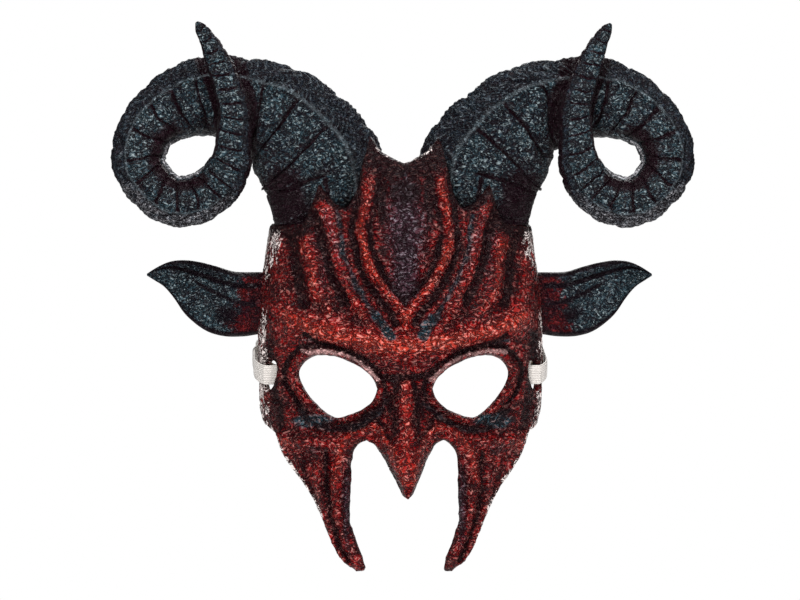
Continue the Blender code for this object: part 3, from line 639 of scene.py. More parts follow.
# soft patches of paint, painted shade and painted highlight: place, spread, and how much of each colour
smudges = [
    ((66, 94), (13, 6), {"washAndShade": 1.2}), ((63, 83), (8, 7), {"glow": 0.8}),
    ((0, 139), (24, 16), {"washAndShade": 1.6}), ((0, 118), (16, 12), {"washAndShade": 0.85}),
    ((55, 70), (12, 13), {"washAndShade": 0.5}), ((0, 130), (3, 10), {"slate": 0.8}),
    ((14, 114), (4.5, 20), {"washAndShade": 1.15}), ((13, 82), (4, 14), {"washAndShade": 0.6}),
    ((0, 96), (15, 32), {"grey": 1.0, "washAndShade": 0.2}), ((22, 146), (4, 22), {"washAndShade": 1.0}),
    ((53, 122), (9, 12), {"washAndShade": 1.7}), ((33, 84), (5, 24), {"washAndShade": 0.45}),
    ((68, 60), (6, 18), {"washAndShade": 0.55}), ((80, 52), (5, 22), {"washAndShade": 0.35}),
    ((0, 25), (24, 5), {"glow": 0.9}), ((0, 44), (8, 8), {"glow": 0.35}),
    ((78, 8), (6, 22), {"washAndShade": 0.6, "grey": 0.4}), ((66, -20), (9, 6), {"washAndShade": 0.45}),
    ((54, -38), (10, 5), {"washAndShade": 0.6, "grey": 0.5}), ((70, -34), (6, 4), {"glow": 0.8}),
    ((48, -62), (7, 22), {"washAndShade": 0.45, "grey": 0.3}), ((34, -72), (3, 30), {"grey": 0.9, "washAndShade": 0.2}),
    ((33, -100), (6, 9), {"washAndShade": 0.4}), ((9, -10), (4, 10), {"washAndShade": 0.95}),
    ((7, -34), (4, 9), {"washAndShade": 0.55}), ((0, -58), (7, 14), {"washAndShade": 0.3}),
    ((54, -20.5), (13, 4.2), {"slate": 1.5}), ((72, 70), (9, 14), {"washAndShade": 0.35}),
    ((40, 60), (22, 14), {"washAndShade": 0.35}),
]

eyeEdge = [(17, -1), (18.5, -6), (21.5, -10), (28.5, -14.5), (40, -18.3), (47.5, -16), (56, -8.3),
           (62, -0.5), (65, 8.7), (61.5, 15), (55, 18.7), (45, 18.7), (35, 15.7), (26, 11), (19.5, 5),
           (17, -1)]


def mirrorLoop(half):
    return np.vstack([half, half[1:-1][::-1] * (-1, 1)])


def breadthAt(z):
    return through(shellSizes["breadth"], z)


def sheetOf(points):
    # front-view (x, z) to sheet position (length round the shell, z)
    points = np.array(points, float)
    share = np.clip(points[:, 0] / breadthAt(points[:, 1]), -1, 1)
    return np.stack([shellSizes["quarter"] * np.arcsin(share) / (np.pi / 2), points[:, 1]], axis=1)


def shellPlace(spots, depth, forward):
    # Ellipse round the face in plan, straight back at the sides; forward moves it towards -Y.
    sizes = shellSizes
    u, z = spots.T
    deep = sizes["sideY"] - through(sizes["front"], z)
    turn = np.clip(np.abs(u) / sizes["quarter"], 0, 1) * np.pi / 2
    back = np.maximum(np.abs(u) - sizes["quarter"], 0)
    fade = np.clip(np.cos(turn) / 0.35, 0, 1)
    x = np.sign(u) * (breadthAt(z) - depth) * np.sin(turn)
    beak = through(sizes["noseHeight"], z) * bell(x, 0, sizes["noseWidth"])
    slope = 2 * x / sizes["noseWidth"] ** 2 * beak
    beak = beak - depth * (np.sqrt(1 + slope ** 2) - 1)
    y = sizes["sideY"] - (deep - depth) * np.cos(turn) - (beak + forward) * fade + back
    return np.stack([x, y, z], axis=1)


def carve(spots):
    # Sum of bell-shaped ridges and grooves along the carved lines, and the paint, painted shade and painted
    # highlights they carry.
    flat = shellPlace(spots, 0.0, 0.0)
    front = np.stack([np.sqrt(flat[:, 0] ** 2 + 1.0) - 0.6, flat[:, 2]], axis=1)
    front += wander(flat, 9, 41) * 2.2
    front += wander(flat, 3, 43) * 1.1
    uneven = 0.65 + 0.7 * noise(flat, 13, 45)
    height = np.zeros(len(front))
    paint = {key: np.zeros(len(front)) for key in ("glow", "washAndShade", "slate", "grey", "paleHighlight")}
    for points, rise, reach, coats in carving:
        away = gapTo(front, spline(points, 4.0))
        height += rise * bell(away, 0, reach) * uneven
        wide = bell(away, 0, reach * 1.1) * (0.5 + 0.5 * uneven)
        for key, share in coats.items():
            paint[key] = np.maximum(paint[key], share * wide)
    for place, spread, coats in smudges:
        soft = np.exp(-(((front - place) / spread) ** 2).sum(axis=1))
        for key, share in coats.items():
            paint[key] = np.maximum(paint[key], share * soft)
    eye = gapTo(front, spline(eyeEdge, 2.5))
    lip = bell(eye, 1.8, 2.0)
    moat = bell(eye, 6.0, 1.2 + 0.6 * uneven) * (0.45 + 0.55 * uneven)
    height += 2.0 * lip - 2.0 * moat
    # dark wash and painted shade in the moat round the eye, a little painted highlight on its lip
    paint["washAndShade"] = np.maximum(paint["washAndShade"] * (1 - 0.8 * lip), moat)
    paint["glow"] = np.maximum(paint["glow"] * (1 - moat), lip * 0.12)
    ridge = np.clip(height, 0, 6)
    tongueTop = smooth(104, 118, front[:, 1])
    paint["washAndShade"] = np.maximum(paint["washAndShade"] - 0.10 * ridge * (1 - tongueTop), 0)
    paint["washAndShade"] *= 1 - 0.5 * np.clip(paint["slate"], 0, 1)
    return np.maximum(height, -0.55 * shellSizes["wall"]), paint, eye


def slotLoop(step):
    # leaning round-ended slot, a little narrower to the eye than its clearance hole
    sizes = shellSizes
    u = sizes["quarter"] * sizes["slotAngle"] / 90
    near = shellPlace(np.array([[u - 1, sizes["slotZ"]], [u + 1, sizes["slotZ"]]]), 0.0, 0.0)
    backPerU = (near[1, 1] - near[0, 1]) / 2
    back = sizes["slotHalf"] * circle(40, 0.6)[:, 0]
    up = sizes["slotLong"] / 2 * circle(40)[:, 1]
    lean = math.radians(sizes["lean"])
    ring = np.stack([u + (back * math.cos(lean) - up * math.sin(lean)) / backPerU,
                     sizes["slotZ"] + back * math.sin(lean) + up * math.cos(lean)], axis=1)
    return evenly(closing(ring), step)[:-1]


def shellLoops():
    # the outline's runs down the left half, then mirrored, and the eyes, strap slots and peg holes
    step = shellSizes["net"] * 0.9
    side = shellSizes["quarter"] + shellSizes["rimSide"]
    slotRim = shellSizes["quarter"] + shellSizes["rimSlot"]
    top = shellSizes["topSide"]
    runs = [
        sheetOf([(0, 134), (5, 135.5), (10, 138.5), (15, 142), (21, 149.5)]),
        sheetOf([(21, 149.5), (24, 139), (26.5, 129), (30, 115), (36, 107), (43, 110), (48, 115), (52, 121)]),
        sheetOf([(52, 121), (56, 110), (61, top + 1), (68, top), (74, top)]),
        np.array([(sheetOf([(74, top)])[0, 0], top), (slotRim, top - 1), (side, 78), (side, 55), (side, 34),
                  (slotRim, 16), (slotRim - 1, -4), (shellSizes["quarter"] - 1, -20),
                  (sheetOf([(77, -28)])[0, 0], -28)]),
        sheetOf([(77, -28), (74, -38), (68, -48.6), (60.5, -59), (54, -70), (49.5, -80), (45.5, -90),
                 (40.5, -100), (35, -106.5), (29, -110.3)]),
        sheetOf([(29, -110.3), (25, -109.5), (25.5, -104), (29, -95), (32, -86), (34, -79), (33.5, -58),
                 (32.5, -42), (28, -34), (23.4, -31.5)]),
        sheetOf([(23.4, -31.5), (18, -35), (13.5, -42), (9, -51), (5, -58.5), (2.2, -63.5), (0, -65)]),
    ]
    half = np.vstack([spline(run, step)[:-1] for run in runs] + [runs[-1][-1:]])
    outline = mirrorLoop(half)
    pegU = shellSizes["quarter"] + shellSizes["pegY"] - shellSizes["sideY"]
    peg = np.array([pegU, shellSizes["pegZ"]]) + shellSizes["pegHole"] * circle(18)
    eye = spline(sheetOf(eyeEdge), step)[:-1]
    holes = []
    for loop in (eye, slotLoop(step), peg):
        holes += [loop, loop * (-1, 1)]
    return [outline] + holes


def ragged(loop, size, seed):
    # torn-edge wobble of a loop
    solid = np.column_stack([loop, np.zeros(len(loop))])
    return loop + (wander(solid, 2.6, seed) + wander(solid, 9, seed + 2)) * size


def makeShell(outside, inner):
    # Outer face: the wall pushed out by the carving, then along its normals by the wrinkles and in at its
    # rounded rim. Inner face: the wall set in by its thickness. Raw paper shows at the sides and torn edges.
    loops = shellLoops()
    loops = [ragged(loops[0], 0.9, 60)] + [ragged(loop, 0.5, 64) for loop in loops[1:3]] + loops[3:]
    spots, faces = fillSheet(loops, shellSizes["net"])
    rise, paint, eye = carve(spots)
    rim = np.min([gapTo(spots, evenly(closing(loop), 2.5)) for loop in loops], axis=0)
    edgeGap = gapTo(spots, evenly(closing(loops[0]), 2.5))
    base = shellPlace(spots, 0.0, rise)
    aside = shellPlace(spots + (0.5, 0), 0.0, rise) - base
    above = shellPlace(spots + (0, 0.5), 0.0, rise) - base
    normal = unit(np.cross(aside, above))
    texture = 0.42 * worms(base, 4.2, 1) + 0.25 * worms(base, 2.4, 7) + 0.5 * noise(base, 11, 12) - 0.45
    over = shellSizes["roundOver"]
    roundOver = over * (1 - np.sqrt(np.clip(1 - (1 - np.clip(rim / over, 0, 1)) ** 2, 0, 1)))
    outer = base + normal * (texture * smooth(0, 2.5, rim) - roundOver)[:, None]
    back = shellPlace(spots, shellSizes["wall"], 0.0)
    back += normal * (0.35 * (noise(back, 6, 21) - 0.5) + 0.8 * roundOver)[:, None]

    # raw paper
    z, across = spots[:, 1], np.abs(base[:, 0])
    high = smooth(3.2, 0.4, edgeGap) * smooth(126, 140, z) * smooth(24, 14, across)
    start = 79 - 10 * bell(z, 84, 11)
    sideways = smooth(0, 22, np.abs(spots[:, 0]) - start) * (1 - 0.75 * bell(z, 56, 13))
    strands = noise(base * (1.0, 1.0, 0.28), 1.5, 31)
    fray = smooth(0.25, 0.75, noise(base, 4.5, 30) * 0.5 + strands * 0.5)
    halfWay = np.interp(z, [-110, -100, -80, -50, -30], [32, 34, 42, 50, 52])
    low = smooth(-16, -30, z) * smooth(7.5, 0.8, edgeGap) * (across > halfWay)
    low *= smooth(-112, -96, z) * (0.4 + 0.6 * smooth(-100, -55, z))
    raw = np.maximum(sideways * (0.35 + 0.75 * fray), low * (0.45 + 0.65 * fray))
    raw = np.maximum(raw, smooth(1.2, 0.2, eye) * 0.45)
    paint["raw"] = raw = np.maximum(raw * smooth(99, 92, z), high * 0.62)
    # painted shade along every rim, where the rounded edge turns away
    paint["washAndShade"] = np.maximum(paint["washAndShade"], 0.5 * smooth(2.5, 0.3, rim) * (1 - raw))
    paint["soot"] = smooth(4, 0.3, rim)
    both = {key: np.concatenate([values, values]) for key, values in paint.items()}
    groups = sheetSolid(faces, len(spots))
    shell = makePiece("faceSkin", np.vstack([outer, back]), groups, "mask", outside, both)
    shell.data.materials.append(inner)
    slots = np.repeat([0, 1, 0], [len(group) for group in groups])
    shell.data.polygons.foreach_set("material_index", slots.astype(np.int32))
    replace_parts(shell, "face_shell")


# horns

hornSizes = {
    "rows": 640, "sides": 128, "plateLong": 25.0, "plateShort": 7.5, "sweep": 24.0, "creaseAt": -0.44,
    "seat": 97.6, "limb": 112.0, "creaseReach": 0.07, "leafAt": (36.8, 123.0), "leafHalf": (8.8, 14.2),
    "path": [(43.5, 23, 97.6, 34.5, 17), (45, 24.5, 113, 36, 17), (49.5, 25.5, 133, 38.5, 17),
             (61, 24, 150, 35.5, 18), (76, 22, 165, 30, 18), (97.5, 20, 173, 26, 18),
             (114, 18, 174.6, 25, 17), (128, 15, 172.5, 23.5, 16), (143, 11, 165, 20.5, 15),
             (154.5, 7, 153.6, 18, 14), (159, 3, 137.4, 17.4, 13.5), (155, 0, 125.4, 16.5, 13),
             (142.5, -3, 113.4, 16.2, 13), (129.3, -5, 111.6, 16.3, 13), (115, -7, 118, 15.5, 12),
             (105.3, -9, 131.4, 14, 11), (103, -10, 144.6, 12, 10), (102.3, -10, 165, 10.8, 9),
             (106.5, -8, 181, 9.8, 8), (112, -5, 195, 8.8, 6.5), (117.3, -3, 207, 6.8, 5),
             (124.5, -1, 218.5, 4.2, 3.4)],
}


def hornLine():
    # Centre line with half-sizes at equal steps, the length along it, and its sideways direction.
    line = spline(hornSizes["path"], 1.0)
    places = np.linspace(0, len(line) - 1, hornSizes["rows"])
    path = np.stack([np.interp(places, np.arange(len(line)), column) for column in line.T], axis=1)
    along = lengthAlong(path[:, :3])
    run = unit(np.gradient(path, axis=0)[:, [0, 2]])
    upright = smooth(44, 0, along)[:, None]
    run = unit(run * (1 - upright) + np.array([0.0, 1.0]) * upright)
    return path, along, np.stack([run[:, 1], np.zeros(len(run)), -run[:, 0]], axis=1)


def plateShare(along, total):
    # place within a plate, 0 to 1; plates shorten evenly towards the tip
    long, short = hornSizes["plateLong"], hornSizes["plateShort"]
    rate = np.log(short / long) / total
    return (np.exp(-rate * along) - 1) / (-rate * long) % 1.0


def makeHorn(name, side, material, seed):
    # Oval sections along the horn's centre line; plates swell between grooves that sweep back
    # towards the root over the outer face, and a crease parts that face from the front.
    sizes = hornSizes
    path, along, across = hornLine()
    total = along[-1]
    cos, sin = circle(sizes["sides"]).T[:, None]
    wide, deep = circle(sizes["sides"], 0.86).T[:, None]
    half, thick = path[:, 3][:, None], path[:, 4][:, None]
    row = along[:, None]
    front = smooth(0.15, -0.35, sin)
    curl = smooth(128, 165, row) * smooth(total - 88, total - 112, row)
    limb = smooth(total - sizes["limb"], total - sizes["limb"] + 14, row)
    crease = bell(cos, sizes["creaseAt"], sizes["creaseReach"]) * front * (1 - 0.7 * limb)
    outer = smooth(sizes["creaseAt"] + 0.06, sizes["creaseAt"] - 0.10, cos)
    size = np.clip(half / 26, 0.22, 1.2)
    small = np.clip(size, 0.4, 1)
    faceX, _, faceZ = np.moveaxis(path[:, None, :3] + (half * wide)[..., None] * across[:, None], -1, 0)
    (leafX, leafZ), (leafWide, leafHigh) = sizes["leafAt"], sizes["leafHalf"]
    leafGap = np.hypot((faceX - leafX) / leafWide, (faceZ - leafZ) / leafHigh)
    leaf = smooth(1.02, 0.86, leafGap) * front * smooth(140, 130, faceZ)
    leafRim = bell(leafGap, 1.12, 0.13) * front * smooth(136, 124, faceZ)

    # plates
    sweep = sizes["sweep"] * np.clip((sizes["creaseAt"] - cos) / 0.56, 0, 1) * size * (1 - 0.8 * limb)
    bow = -5.0 * np.cos((cos + 0.3) * 1.6) * size * (1 - 2.0 * limb)
    spots = np.stack(np.broadcast_arrays(row, 14 * cos, 14 * sin), axis=-1).reshape(-1, 3)
    lilt = (noise(spots, 15, seed) + 0.4 * noise(spots, 5, seed + 1) - 0.7).reshape(len(along), -1)
    share = plateShare(row + sweep + bow + 7.0 * lilt * small, total)
    pitch = sizes["plateLong"] * (sizes["plateShort"] / sizes["plateLong"]) ** (row / total)
    groove = bell(np.minimum(share, 1 - share) * pitch, 0, 0.75 + 0.45 * size)
    hidden = smooth(0.98, 0.6, cos)
    swell = np.sqrt(np.clip(4 * share * (1 - share), 0, 1)) * (0.35 + 0.65 * share)
    relief = 1.8 * swell * size * (0.7 + 0.35 * outer)
    relief -= 1.9 * groove * np.clip(size, 0.35, 1) * hidden * (1 - 0.5 * outer)
    relief += (1.3 * crease - 0.8 * bell(cos, sizes["creaseAt"] + 0.16, sizes["creaseReach"]) * front) * size
    fine = np.sin((row + 2.6 * sweep + 9 * lilt) * 2 * np.pi / 3.1) * outer * size
    relief += 0.34 * fine
    relief = relief * (1 - leaf) + (1.8 - 0.8 * leafGap) * leaf - 1.5 * leafRim

    # rings
    ledge = 1 - 0.55 * smooth(0.70, 0.88, cos) * front * curl
    centre = path[:, None, :3]
    ring = centre + ((half - 1.6) * wide)[..., None] * across[:, None]
    ring[..., 1] += (thick - 1.0) * deep * (1 - 0.12 * outer * front) * ledge
    outwards = (wide * thick / half)[..., None] * across[:, None]
    outwards[..., 1] += deep[0]
    outwards = unit(outwards)
    solid = ring.reshape(-1, 3) + seed * 31.0
    rough = 0.55 * worms(solid, 3.6, seed) + 0.35 * noise(solid, 2.2, seed + 2)
    rough += 0.9 * noise(solid, 8, seed + 5)
    relief += (rough.reshape(relief.shape) - 0.8) * small
    shrink = np.sqrt(np.clip(smooth(-1.0, 5, total - row), 0.05, 1))
    ring = centre + (ring + outwards * relief[..., None] - centre) * shrink[..., None]
    base = smooth(26, 14, row)
    ring[..., 2] = np.where(base > 0, np.maximum(ring[..., 2], sizes["seat"]), ring[..., 2])
    ring[0, :, 2] = sizes["seat"]

    # paint: dark grooves, and painted shade on the inner side, beside and down the limb, at the root, under
    # each plate's step and under the curl
    # painted shadow on the arch beside the limb that crosses in front of it
    limbLine = path[along > total - 100][:, [0, 2]]
    beside = (gapTo(ring[..., [0, 2]].reshape(-1, 2), limbLine[::6]) - 10.5).reshape(relief.shape)
    inward = smooth(2, -4, ring[..., 0] - 104)
    limbShadow = smooth(3.0 + 6.5 * inward, 0.5, beside) * (row < total - 118) * front
    # painted shade on the horn's inner side, full in the curl and near the root
    hollow = smooth(-0.1, 0.62, cos) * np.clip(curl * 1.2 + smooth(80, 30, row), 0.5, 1) * (1 - limb)
    # painted shade down both sides of the limb, at the root and under each plate's step
    edges = limb * smooth(0.62, 0.92, np.abs(cos)) * 0.8
    rootShade = smooth(26, 6, row) * smooth(-0.1, 0.4, cos)
    rootShade = rootShade + smooth(60, 20, row) * smooth(-0.62, -0.9, cos) * 0.8
    plateStepShade = 0.62 * smooth(0.42, 0.02, share) * front * (1 - outer) * (1 - 0.4 * limb)
    washAndShade = np.maximum.reduce([groove * hidden * (1 - 0.55 * outer), hollow, limbShadow, edges, rootShade, plateStepShade])
    # painted shade on the outer face under the curl; none on the curl's raw inner rim
    below = smooth(132, 118, ring[..., 2]) * curl
    washAndShade = np.maximum(washAndShade * (1 - smooth(0.78, 0.86, cos) * curl), outer * below * 0.30)
    raw = np.maximum.reduce([smooth(0.80, 0.90, cos) * front * curl * 0.80, outer * below * 0.50,
                             smooth(0.2, 0.8, sin) * curl * 0.6,
                             smooth(-0.75, -0.97, cos) * smooth(48, 20, row) * 0.55])
    # light on the crease, the outer face's plate lines, the leaf and each plate's start: partly worn, partly
    # painted highlights
    worn = np.maximum.reduce([crease * 0.8, outer * np.clip(fine, 0, 1) * 0.8,
                              leaf * smooth(0.4, 0.9, leafGap) * 0.4,
                              bell(share, 0.10, 0.05) * 0.55 * front * (1 - outer)])
    paint = {"groove": np.maximum(washAndShade * (1 - leaf), leafRim * 1.2), "worn": worn, "raw": raw,
             "dull": outer * (1 - leaf)}
    horn = sweptPiece("hornSkin." + name, ring * (side, 1, 1), paint, side < 0, 0, material)
    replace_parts(horn, "horn_" + name)


# ears

earSizes = {
    "rows": 150, "sides": 120, "root": 84.0, "long": 70.0, "y": 38.0, "rootThick": 14.0, "tipThick": 4.0,
    "rootLong": 31.0, "hollow": 5.0,
    "top": [(84, 69.2), (91, 69.2), (101.4, 69.6), (111.6, 72.6), (121.8, 75.2), (132, 76.4), (140.4, 75.4),
            (148, 72), (154, 68.2)],
    "bottom": [(84, 31.5), (96, 30), (109.5, 30.6), (116.7, 32.8), (124.8, 38), (132, 45),
               (137.4, 53), (142.8, 59.5), (150, 64.5), (154, 67.0)],
}


def makeEar(name, side, material, seed):
    # Lens sections from the head to the tip; the front dips between a rolled upper rim and a long fold.
    sizes = earSizes
    share = np.linspace(0, 1, sizes["rows"])
    tip = (1 - (1 - share) ** 1.35)[:, None]
    x = sizes["root"] + sizes["long"] * tip
    cos, sin = circle(sizes["sides"]).T[:, None]
    top, bottom = through(sizes["top"], x[:, 0])[:, None], through(sizes["bottom"], x[:, 0])[:, None]
    root = np.clip(1 - (x - sizes["root"]) / sizes["rootLong"], 0, 1)
    thin = np.clip((top - bottom) / 14, 0.02, 1)
    thick = (sizes["tipThick"] + (sizes["rootThick"] - sizes["tipThick"]) * root) * thin
    hollow = sizes["hollow"] * (1 - np.clip(1.4 * root, 0, 1)) * thin
    z = (top + bottom) / 2 + (top - bottom) / 2 * circle(sizes["sides"], 0.9)[:, 0]
    y = sizes["y"] + thick / 2 * sin + hollow * (sin ** 2 - 0.5)
    front = smooth(0.1, -0.3, sin)
    height = (z - bottom) / (top - bottom + 1e-6)
    rimLine = bell(height, 0.93, 0.07)
    rimGroove = bell(height, 0.78 + 0.05 * tip, 0.045)
    fold = bell(height, 0.60 - 0.25 * tip + 0.03 * np.sin(9 * tip), 0.07)
    crease = bell(height, 0.46 + 0.36 * tip, 0.045) * smooth(0.75, 0.5, tip)
    concha = bell(tip, 0.30, 0.14) * bell(height, 0.33, 0.20)
    lift = (2.0 * rimLine - 2.1 * rimGroove + 1.5 * fold + 1.2 * bell(height, 0.05, 0.05) - 1.4 * crease
            - 2.4 * concha * (1 - root)) * front * thin * smooth(0.04, 0.25, tip)
    ring = np.stack(np.broadcast_arrays(x, y, z), axis=-1)
    solid = ring.reshape(-1, 3) + seed * 17.0
    rough = 0.6 * worms(solid, 3.4, seed) + 0.4 * noise(solid, 2.0, seed + 1)
    rough = (rough + 0.8 * noise(solid, 7, seed + 2)).reshape(z.shape) - 0.85
    ring[..., 1] -= lift + 0.65 * rough * front * thin
    ring[..., 1] += 0.5 * rough * smooth(-0.1, 0.4, sin) * thin

    # the first section is let into the shell's side
    wall = ring[0]
    deep = shellSizes["sideY"] - through(shellSizes["front"], wall[:, 2])
    reach = np.clip((shellSizes["sideY"] - wall[:, 1]) / deep, 0, 1)
    seat = breadthAt(wall[:, 2]) * np.sqrt(1 - reach ** 2) - 0.8
    ring[..., 0] += (seat - sizes["root"])[None] * smooth(0.16, 0.0, share)[:, None]

    # paint: dark grooves and outline, with painted shade in the hollow, under the fold and at the root; a
    # painted highlight patch
    outline = smooth(0.74, 0.95, np.abs(cos)) * smooth(0.3, -0.1, sin)
    # dark grooves and outline, and painted shade in the hollow, under the fold and towards the root
    groove = np.maximum.reduce([rimGroove * 1.2 * front, concha * 0.9 * front, crease * front,
                                np.broadcast_to(outline * 1.25, z.shape),
                                bell(height, 0.45, 0.30) * smooth(0.55, 0.20, tip) * 0.55 * front])
    # painted highlight patch on the ear, added to the teal rim
    paintedHighlightPatch = 0.7 * bell(tip, 0.2, 0.04) * bell(height, 0.40 + tip, 0.12)
    paint = {
        "groove": groove * smooth(0.02, 0.12, tip) + smooth(0.13, 0.03, tip) * 0.55,
        "worn": np.maximum(paintedHighlightPatch, 0.45 * rimLine) * front,
        "raw": np.broadcast_to(smooth(0.25, 0.8, sin) * 0.40, z.shape),
        "dull": rimLine * 0.5 * front,
        "red": smooth(0.44, 0.0, tip + 0.16 * (height - 0.5)) * (0.75 + 0.25 * front),
    }
    ear = sweptPiece("earSkin." + name, ring * (side, 1, 1), paint, side > 0, 1, material)
    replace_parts(ear, "ear_" + name)


# pads inside the shell

padSizes = {"near": 4.4, "thick": 8.0, "round": 5.0, "net": 1.6, "browX": 50.0, "browZ": (26.0, 45.0),
            "cheek": (58.0, -31.0), "cheekHalf": (11.0, 7.0)}


def makePad(name, loop, material):
    # foam pillow on the shell's inner face: full height in the middle, rounded down at its edge
    sizes = padSizes
    loop = evenly(closing(loop), sizes["net"])[:-1]
    spots, faces = fillSheet([loop], sizes["net"])
    edge = np.clip(gapTo(spots, closing(loop)) / sizes["round"], 0, 1)
    dome = np.sqrt(np.clip(1 - (1 - edge) ** 2, 0, 1))
    front = shellPlace(spots, sizes["near"] + 1.2 * (1 - dome), 0.0)
    dimple = 0.5 * noise(front, 6, 51)
    back = shellPlace(spots, sizes["near"] + 1.8 + (sizes["thick"] - 2.0) * dome - dimple * dome, 0.0)
    pad = makePiece(name, np.vstack([front, back]), sheetSolid(faces, len(spots)), "mask", material)
    return pad


def makePads(material):
    # the brow pad is a bar with round ends, the cheek pads are ovals
    low, high = padSizes["browZ"]
    middle, end = padSizes["browX"], (high - low) / 2
    turn = np.linspace(-np.pi / 2, np.pi / 2, 13)
    ends = np.stack([middle - end + end * np.cos(turn), (low + high) / 2 + end * np.sin(turn)], axis=1)
    half = sheetOf(np.vstack([[(0, low), (middle / 3, low)], ends, [(middle / 3, high), (0, high)]]))
    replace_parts(makePad("browFoam", mirrorLoop(half), material), "brow_pad")
    ring = sheetOf(np.array(padSizes["cheek"]) + np.array(padSizes["cheekHalf"]) * circle(40))
    for name, side in (("left", 1), ("right", -1)):
        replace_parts(makePad("cheekFoam." + name, ring * (side, 1), material), "cheek_pad_" + name)


# strap and slider

strapSizes = {
    "width": 12.0, "thick": 1.5, "standoff": 1.6, "leg": 40.0, "loop": 48.0, "join": 1.55, "runFrom": 46.0,
    "back": 166.0, "backHalf": 32.0, "overlap": 28.0, "pivotY": 18.004, "rise": 15.0, "layer": 2.0,
    "play": 0.5, "slider": 10.0, "bar": 2.0,
}
stitchSizes = {"rows": 4, "start": 49.5, "pitch": 2.1, "long": 1.9, "spread": 3.4, "lean": 1.2,
               "thread": 0.26, "arch": 0.25, "sink": 0.12}


def sideX(y, depth=0.0):
    # half-breadth of the shell at the slot's height for a place y along the head
    sizes = shellSizes
    deep = sizes["sideY"] - through(sizes["front"], sizes["slotZ"])
    share = np.clip((sizes["sideY"] - y) / deep, 0, 1)
    return (breadthAt(sizes["slotZ"]) - depth) * np.sqrt(1 - share ** 2)


def onStrapPlane(side, plan, height):
    # plan is (x, distance behind the slot), on a plane that rises towards the back; height is across it
    rise = math.radians(strapSizes["rise"])
    x, along = plan[..., 0], plan[..., 1]
    y = strapSizes["pivotY"] + along * math.cos(rise) - height * math.sin(rise)
    z = shellSizes["slotZ"] + along * math.sin(rise) + height * math.cos(rise)
    return np.stack([side * x, y, z], axis=-1)


def band(name, side, plan, elastic):
    # Strap section, a rectangle with crimped edges, carried along a line of the strap's plan.
    sizes = strapSizes
    plan = evenly(spline(plan, 0.8), 0.8)
    run = unit(np.gradient(plan, axis=0))
    sideways = np.stack([run[:, 1], -run[:, 0]], axis=1)
    along = lengthAlong(plan)
    across = np.linspace(-1, 1, 17)
    crimp = np.sqrt(np.clip(1 - np.abs(across) ** 8, 0, 1)) * (1 - 0.15 * np.abs(across) ** 3)
    up = np.concatenate([across, across[::-1]])
    out = np.concatenate([crimp, -crimp[::-1]]) + np.repeat([1e-3, -1e-3], 17)
    offset = out * sizes["thick"] / 2 * (1 + 0.06 * np.sin(along * 1.3)[:, None])
    height = np.broadcast_to(up * sizes["width"] / 2, offset.shape)
    verts = onStrapPlane(side, plan[:, None] + sideways[:, None] * offset[..., None], height)
    if side > 0:
        verts, height = verts[:, ::-1], height[:, ::-1]
    uv = np.stack(np.broadcast_arrays(along[:, None], height), axis=-1).reshape(-1, 2)
    piece = makePiece(name, *closedTube(verts), "strap", elastic, uv=np.vstack([uv, uv[:1], uv[-1:]]))
    return piece


def makeStrap(elastic, thread):
    # Each half is an end loop through the slot, sewn to a run that goes round the head to the back.
    sizes = strapSizes
    half, join, far, start = sizes["thick"] / 2, sizes["join"], sizes["loop"], sizes["runFrom"]
    legs = np.linspace(3.0, sizes["leg"], 12)
    plan = sizes["pivotY"] + legs * math.cos(math.radians(sizes["rise"]))
    outer = sideX(plan) + sizes["standoff"] + half
    inner = sideX(plan, shellSizes["wall"]) - sizes["standoff"] - half
    first = sideX(sizes["pivotY"])
    outside = first + sizes["standoff"] + 0.8 + half
    within = first - shellSizes["wall"] - sizes["standoff"] - half
    middle = (outer[-1] + inner[-1]) / 2
    bend = [(outside - 0.1, 1.6), (outside - 0.9, 0.2), (outside - 2.0, 0.0), (within + 2.0, 0.0),
            (within + 0.9, 0.2), (within + 0.1, 1.6)]
    tail = np.array([(join, far + 10), (join, far + 4), (join + 0.1, far)])
    loop = np.vstack([tail + (middle, 0), np.stack([outer, legs], axis=1)[::-1], bend,
                      np.stack([inner, legs], axis=1), tail[::-1] * (-1, 1) + (middle, 0)])
    for name, side, extra in (("left", 1, 0.0), ("right", -1, sizes["layer"])):
        turn = np.linspace(0, np.pi / 2, 24)
        back = sizes["back"] + extra
        run = np.stack([sizes["backHalf"] + (middle - sizes["backHalf"]) * np.cos(turn),
                        start + (back - start) * np.sin(turn)], axis=1)
        run = np.vstack([run, [(18, back), (0, back), (-14, back), (-sizes["overlap"], back)]])
        for piece in (band("loopBand." + name, side, loop, elastic),
                      band("runBand." + name, side, run, elastic),
                      makeStitches(name, side, middle, join + half, thread)):
            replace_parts(piece, "strap_" + name)


def makeStitches(name, side, middle, face, thread):
    # Zigzag of small thread arches over both faces of the sewn joint.
    sizes = stitchSizes
    verts, groups = [], []
    disc, t = circle(6), np.linspace(0, 1, 7)
    for way in (1, -1):
        for row in range(sizes["rows"]):
            for line in (-1, 0, 1):
                along = sizes["start"] + sizes["pitch"] * row + sizes["long"] * t
                lean = sizes["lean"] if row % 2 else -sizes["lean"]
                height = sizes["spread"] * line + lean * (t - 0.5) * 2
                bulge = middle + way * (face + sizes["arch"] * np.sin(np.pi * t) - sizes["sink"])
                ring = np.stack(np.broadcast_arrays(bulge[:, None] + sizes["thread"] * disc[:, 0],
                                                    along[:, None]), axis=-1)
                tube = onStrapPlane(side, ring, height[:, None] + sizes["thread"] * disc[:, 1])
                points, faces = closedTube(tube if side < 0 else tube[:, ::-1])
                groups.append([group + sum(map(len, verts)) for group in faces])
                verts.append(points)
    faces = [np.vstack(kind) for kind in zip(*groups)]
    piece = makePiece("jointStitch." + name, np.vstack(verts), faces, "strap", thread)
    return piece


